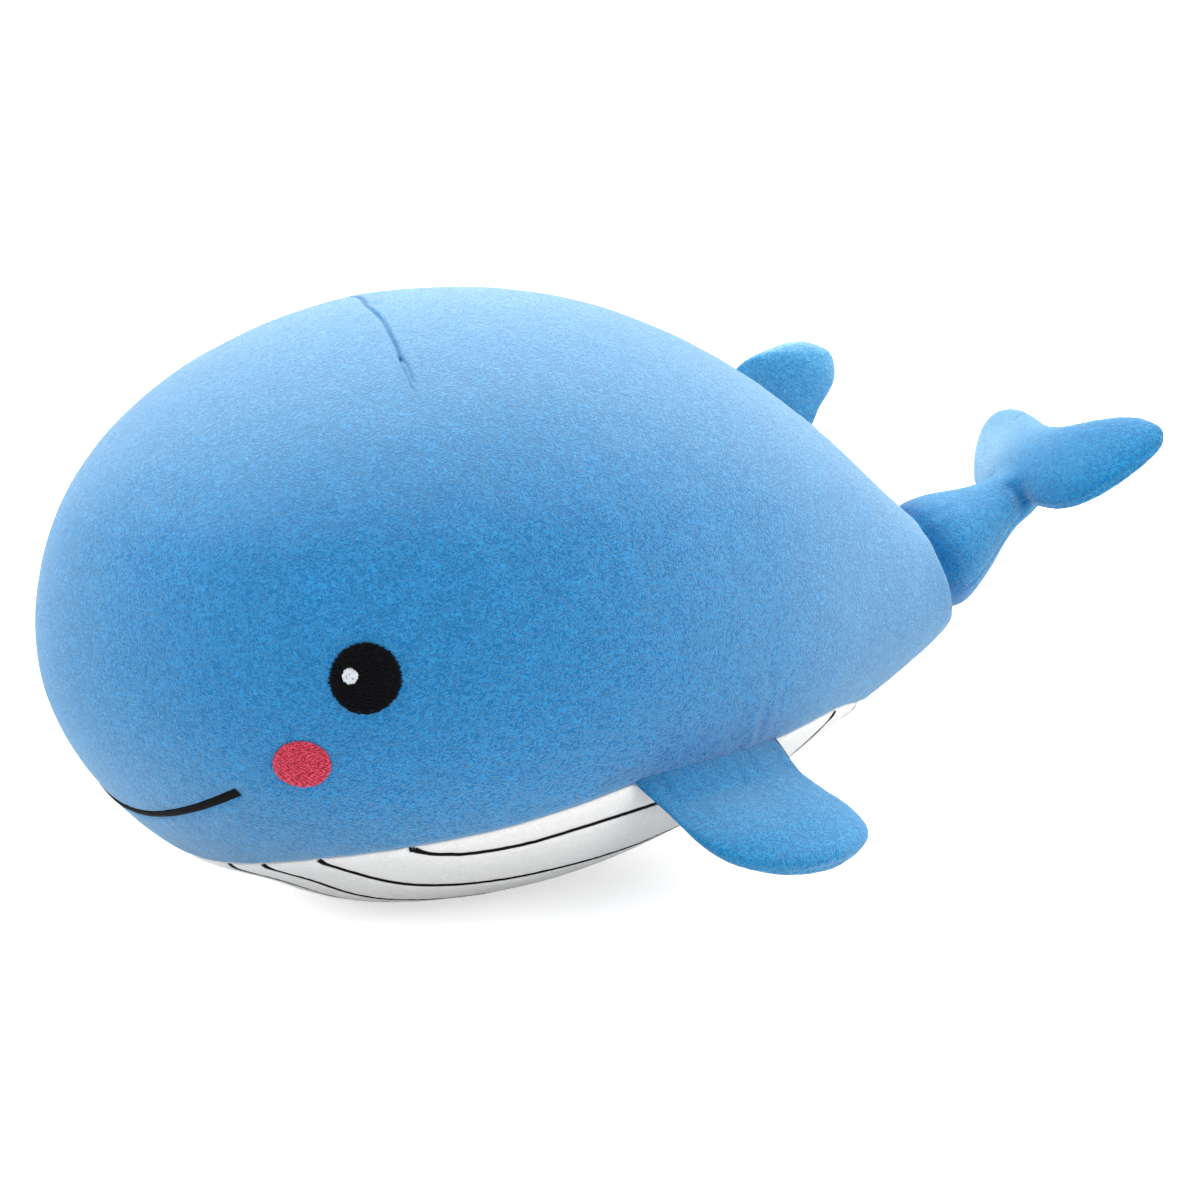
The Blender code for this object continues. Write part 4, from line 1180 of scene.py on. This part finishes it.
CAMERA_PLACE = (-0.6809, -1.1827, 0.3136)
CAMERA_AIM = (0.5018, 0.8352, -0.2250)
CAMERA_LENS, CAMERA_SENSOR, CAMERA_REACH = 105, 36, 20
WORLD_STRENGTH = 0.66
FLOOR_HALF_WIDTH, FLOOR_WHITENESS, FLOOR_GLOW = 6.0, 0.80, 0.6
SOFTBOX_AIM = (0, 0, 0.1)
SOFTBOXES = {  # place, diameter and watts
    "top_softbox": ((0.0, 0.3, 1.8), 1.6, 34),
    "front_softbox": ((0.5, -1.8, 0.7), 1.4, 13),
    "left_softbox": ((-1.5, 0.7, 0.8), 1.0, 18),
    "right_softbox": ((1.5, 0.3, 1.1), 1.0, 21),
}


def make_camera(scene):
    data = bpy.data.cameras.new("camera")
    data.lens, data.sensor_width, data.clip_end = CAMERA_LENS, CAMERA_SENSOR, CAMERA_REACH
    camera = linked("camera", data)
    camera.location = Vector(ORIGIN) + Vector(CAMERA_PLACE)
    camera.rotation_euler = Vector(CAMERA_AIM).to_track_quat("-Z", "Y").to_euler()
    scene.camera = camera


def seen_rays(tree):
    """One for rays from the camera, in reflections and through glass, zero for the rest."""
    rays = add_node(tree, "LightPath").outputs
    seen = rays["Is Camera Ray"]
    for kind in ("Is Glossy Ray", "Is Transmission Ray"):
        seen = computed(tree, "MAXIMUM", seen, rays[kind])
    return seen


def make_floor():
    half = FLOOR_HALF_WIDTH
    corners = [(-half, -half, 0), (half, -half, 0), (half, half, 0), (-half, half, 0)]
    mesh = bpy.data.meshes.new("floor")
    mesh.from_pydata(corners, [], [(0, 1, 2, 3)])
    material, tree, shader, _ = new_material(
        "floor_paper", Base_Color=(*[FLOOR_WHITENESS] * 3, 1), Roughness=0.95, Emission_Color=(1, 1, 1, 1))
    feed_all(tree, shader, Emission_Strength=ranged(tree, seen_rays(tree), 0.0, 1.0, 0.0, FLOOR_GLOW))
    mesh.materials.append(material)
    floor = linked("floor", mesh)


def make_world(scene):
    """Even white light; the camera and mirror-like rays see plain white."""
    scene.world = bpy.data.worlds.new("world")
    scene.world.use_nodes = True
    tree = scene.world.node_tree
    strength = ranged(tree, seen_rays(tree), 0.0, 1.0, WORLD_STRENGTH, 1.0)
    feed_all(tree, tree.nodes["Background"], Color=(1, 1, 1, 1), Strength=strength)


def make_studio():
    scene = bpy.context.scene
    scene.view_settings.view_transform = "Standard"
    make_camera(scene)
    make_floor()
    make_world(scene)
    for name, (place, size, energy) in SOFTBOXES.items():
        light = bpy.data.lights.new(name, "AREA")
        light.shape, light.size, light.energy = "DISK", size, energy
        lamp = linked(name, light)
        lamp.location = place
        lamp.rotation_euler = (Vector(SOFTBOX_AIM) - Vector(place)).to_track_quat("-Z", "Y").to_euler()


make_body()
make_limbs()
make_tail()
make_stitching()
make_studio()
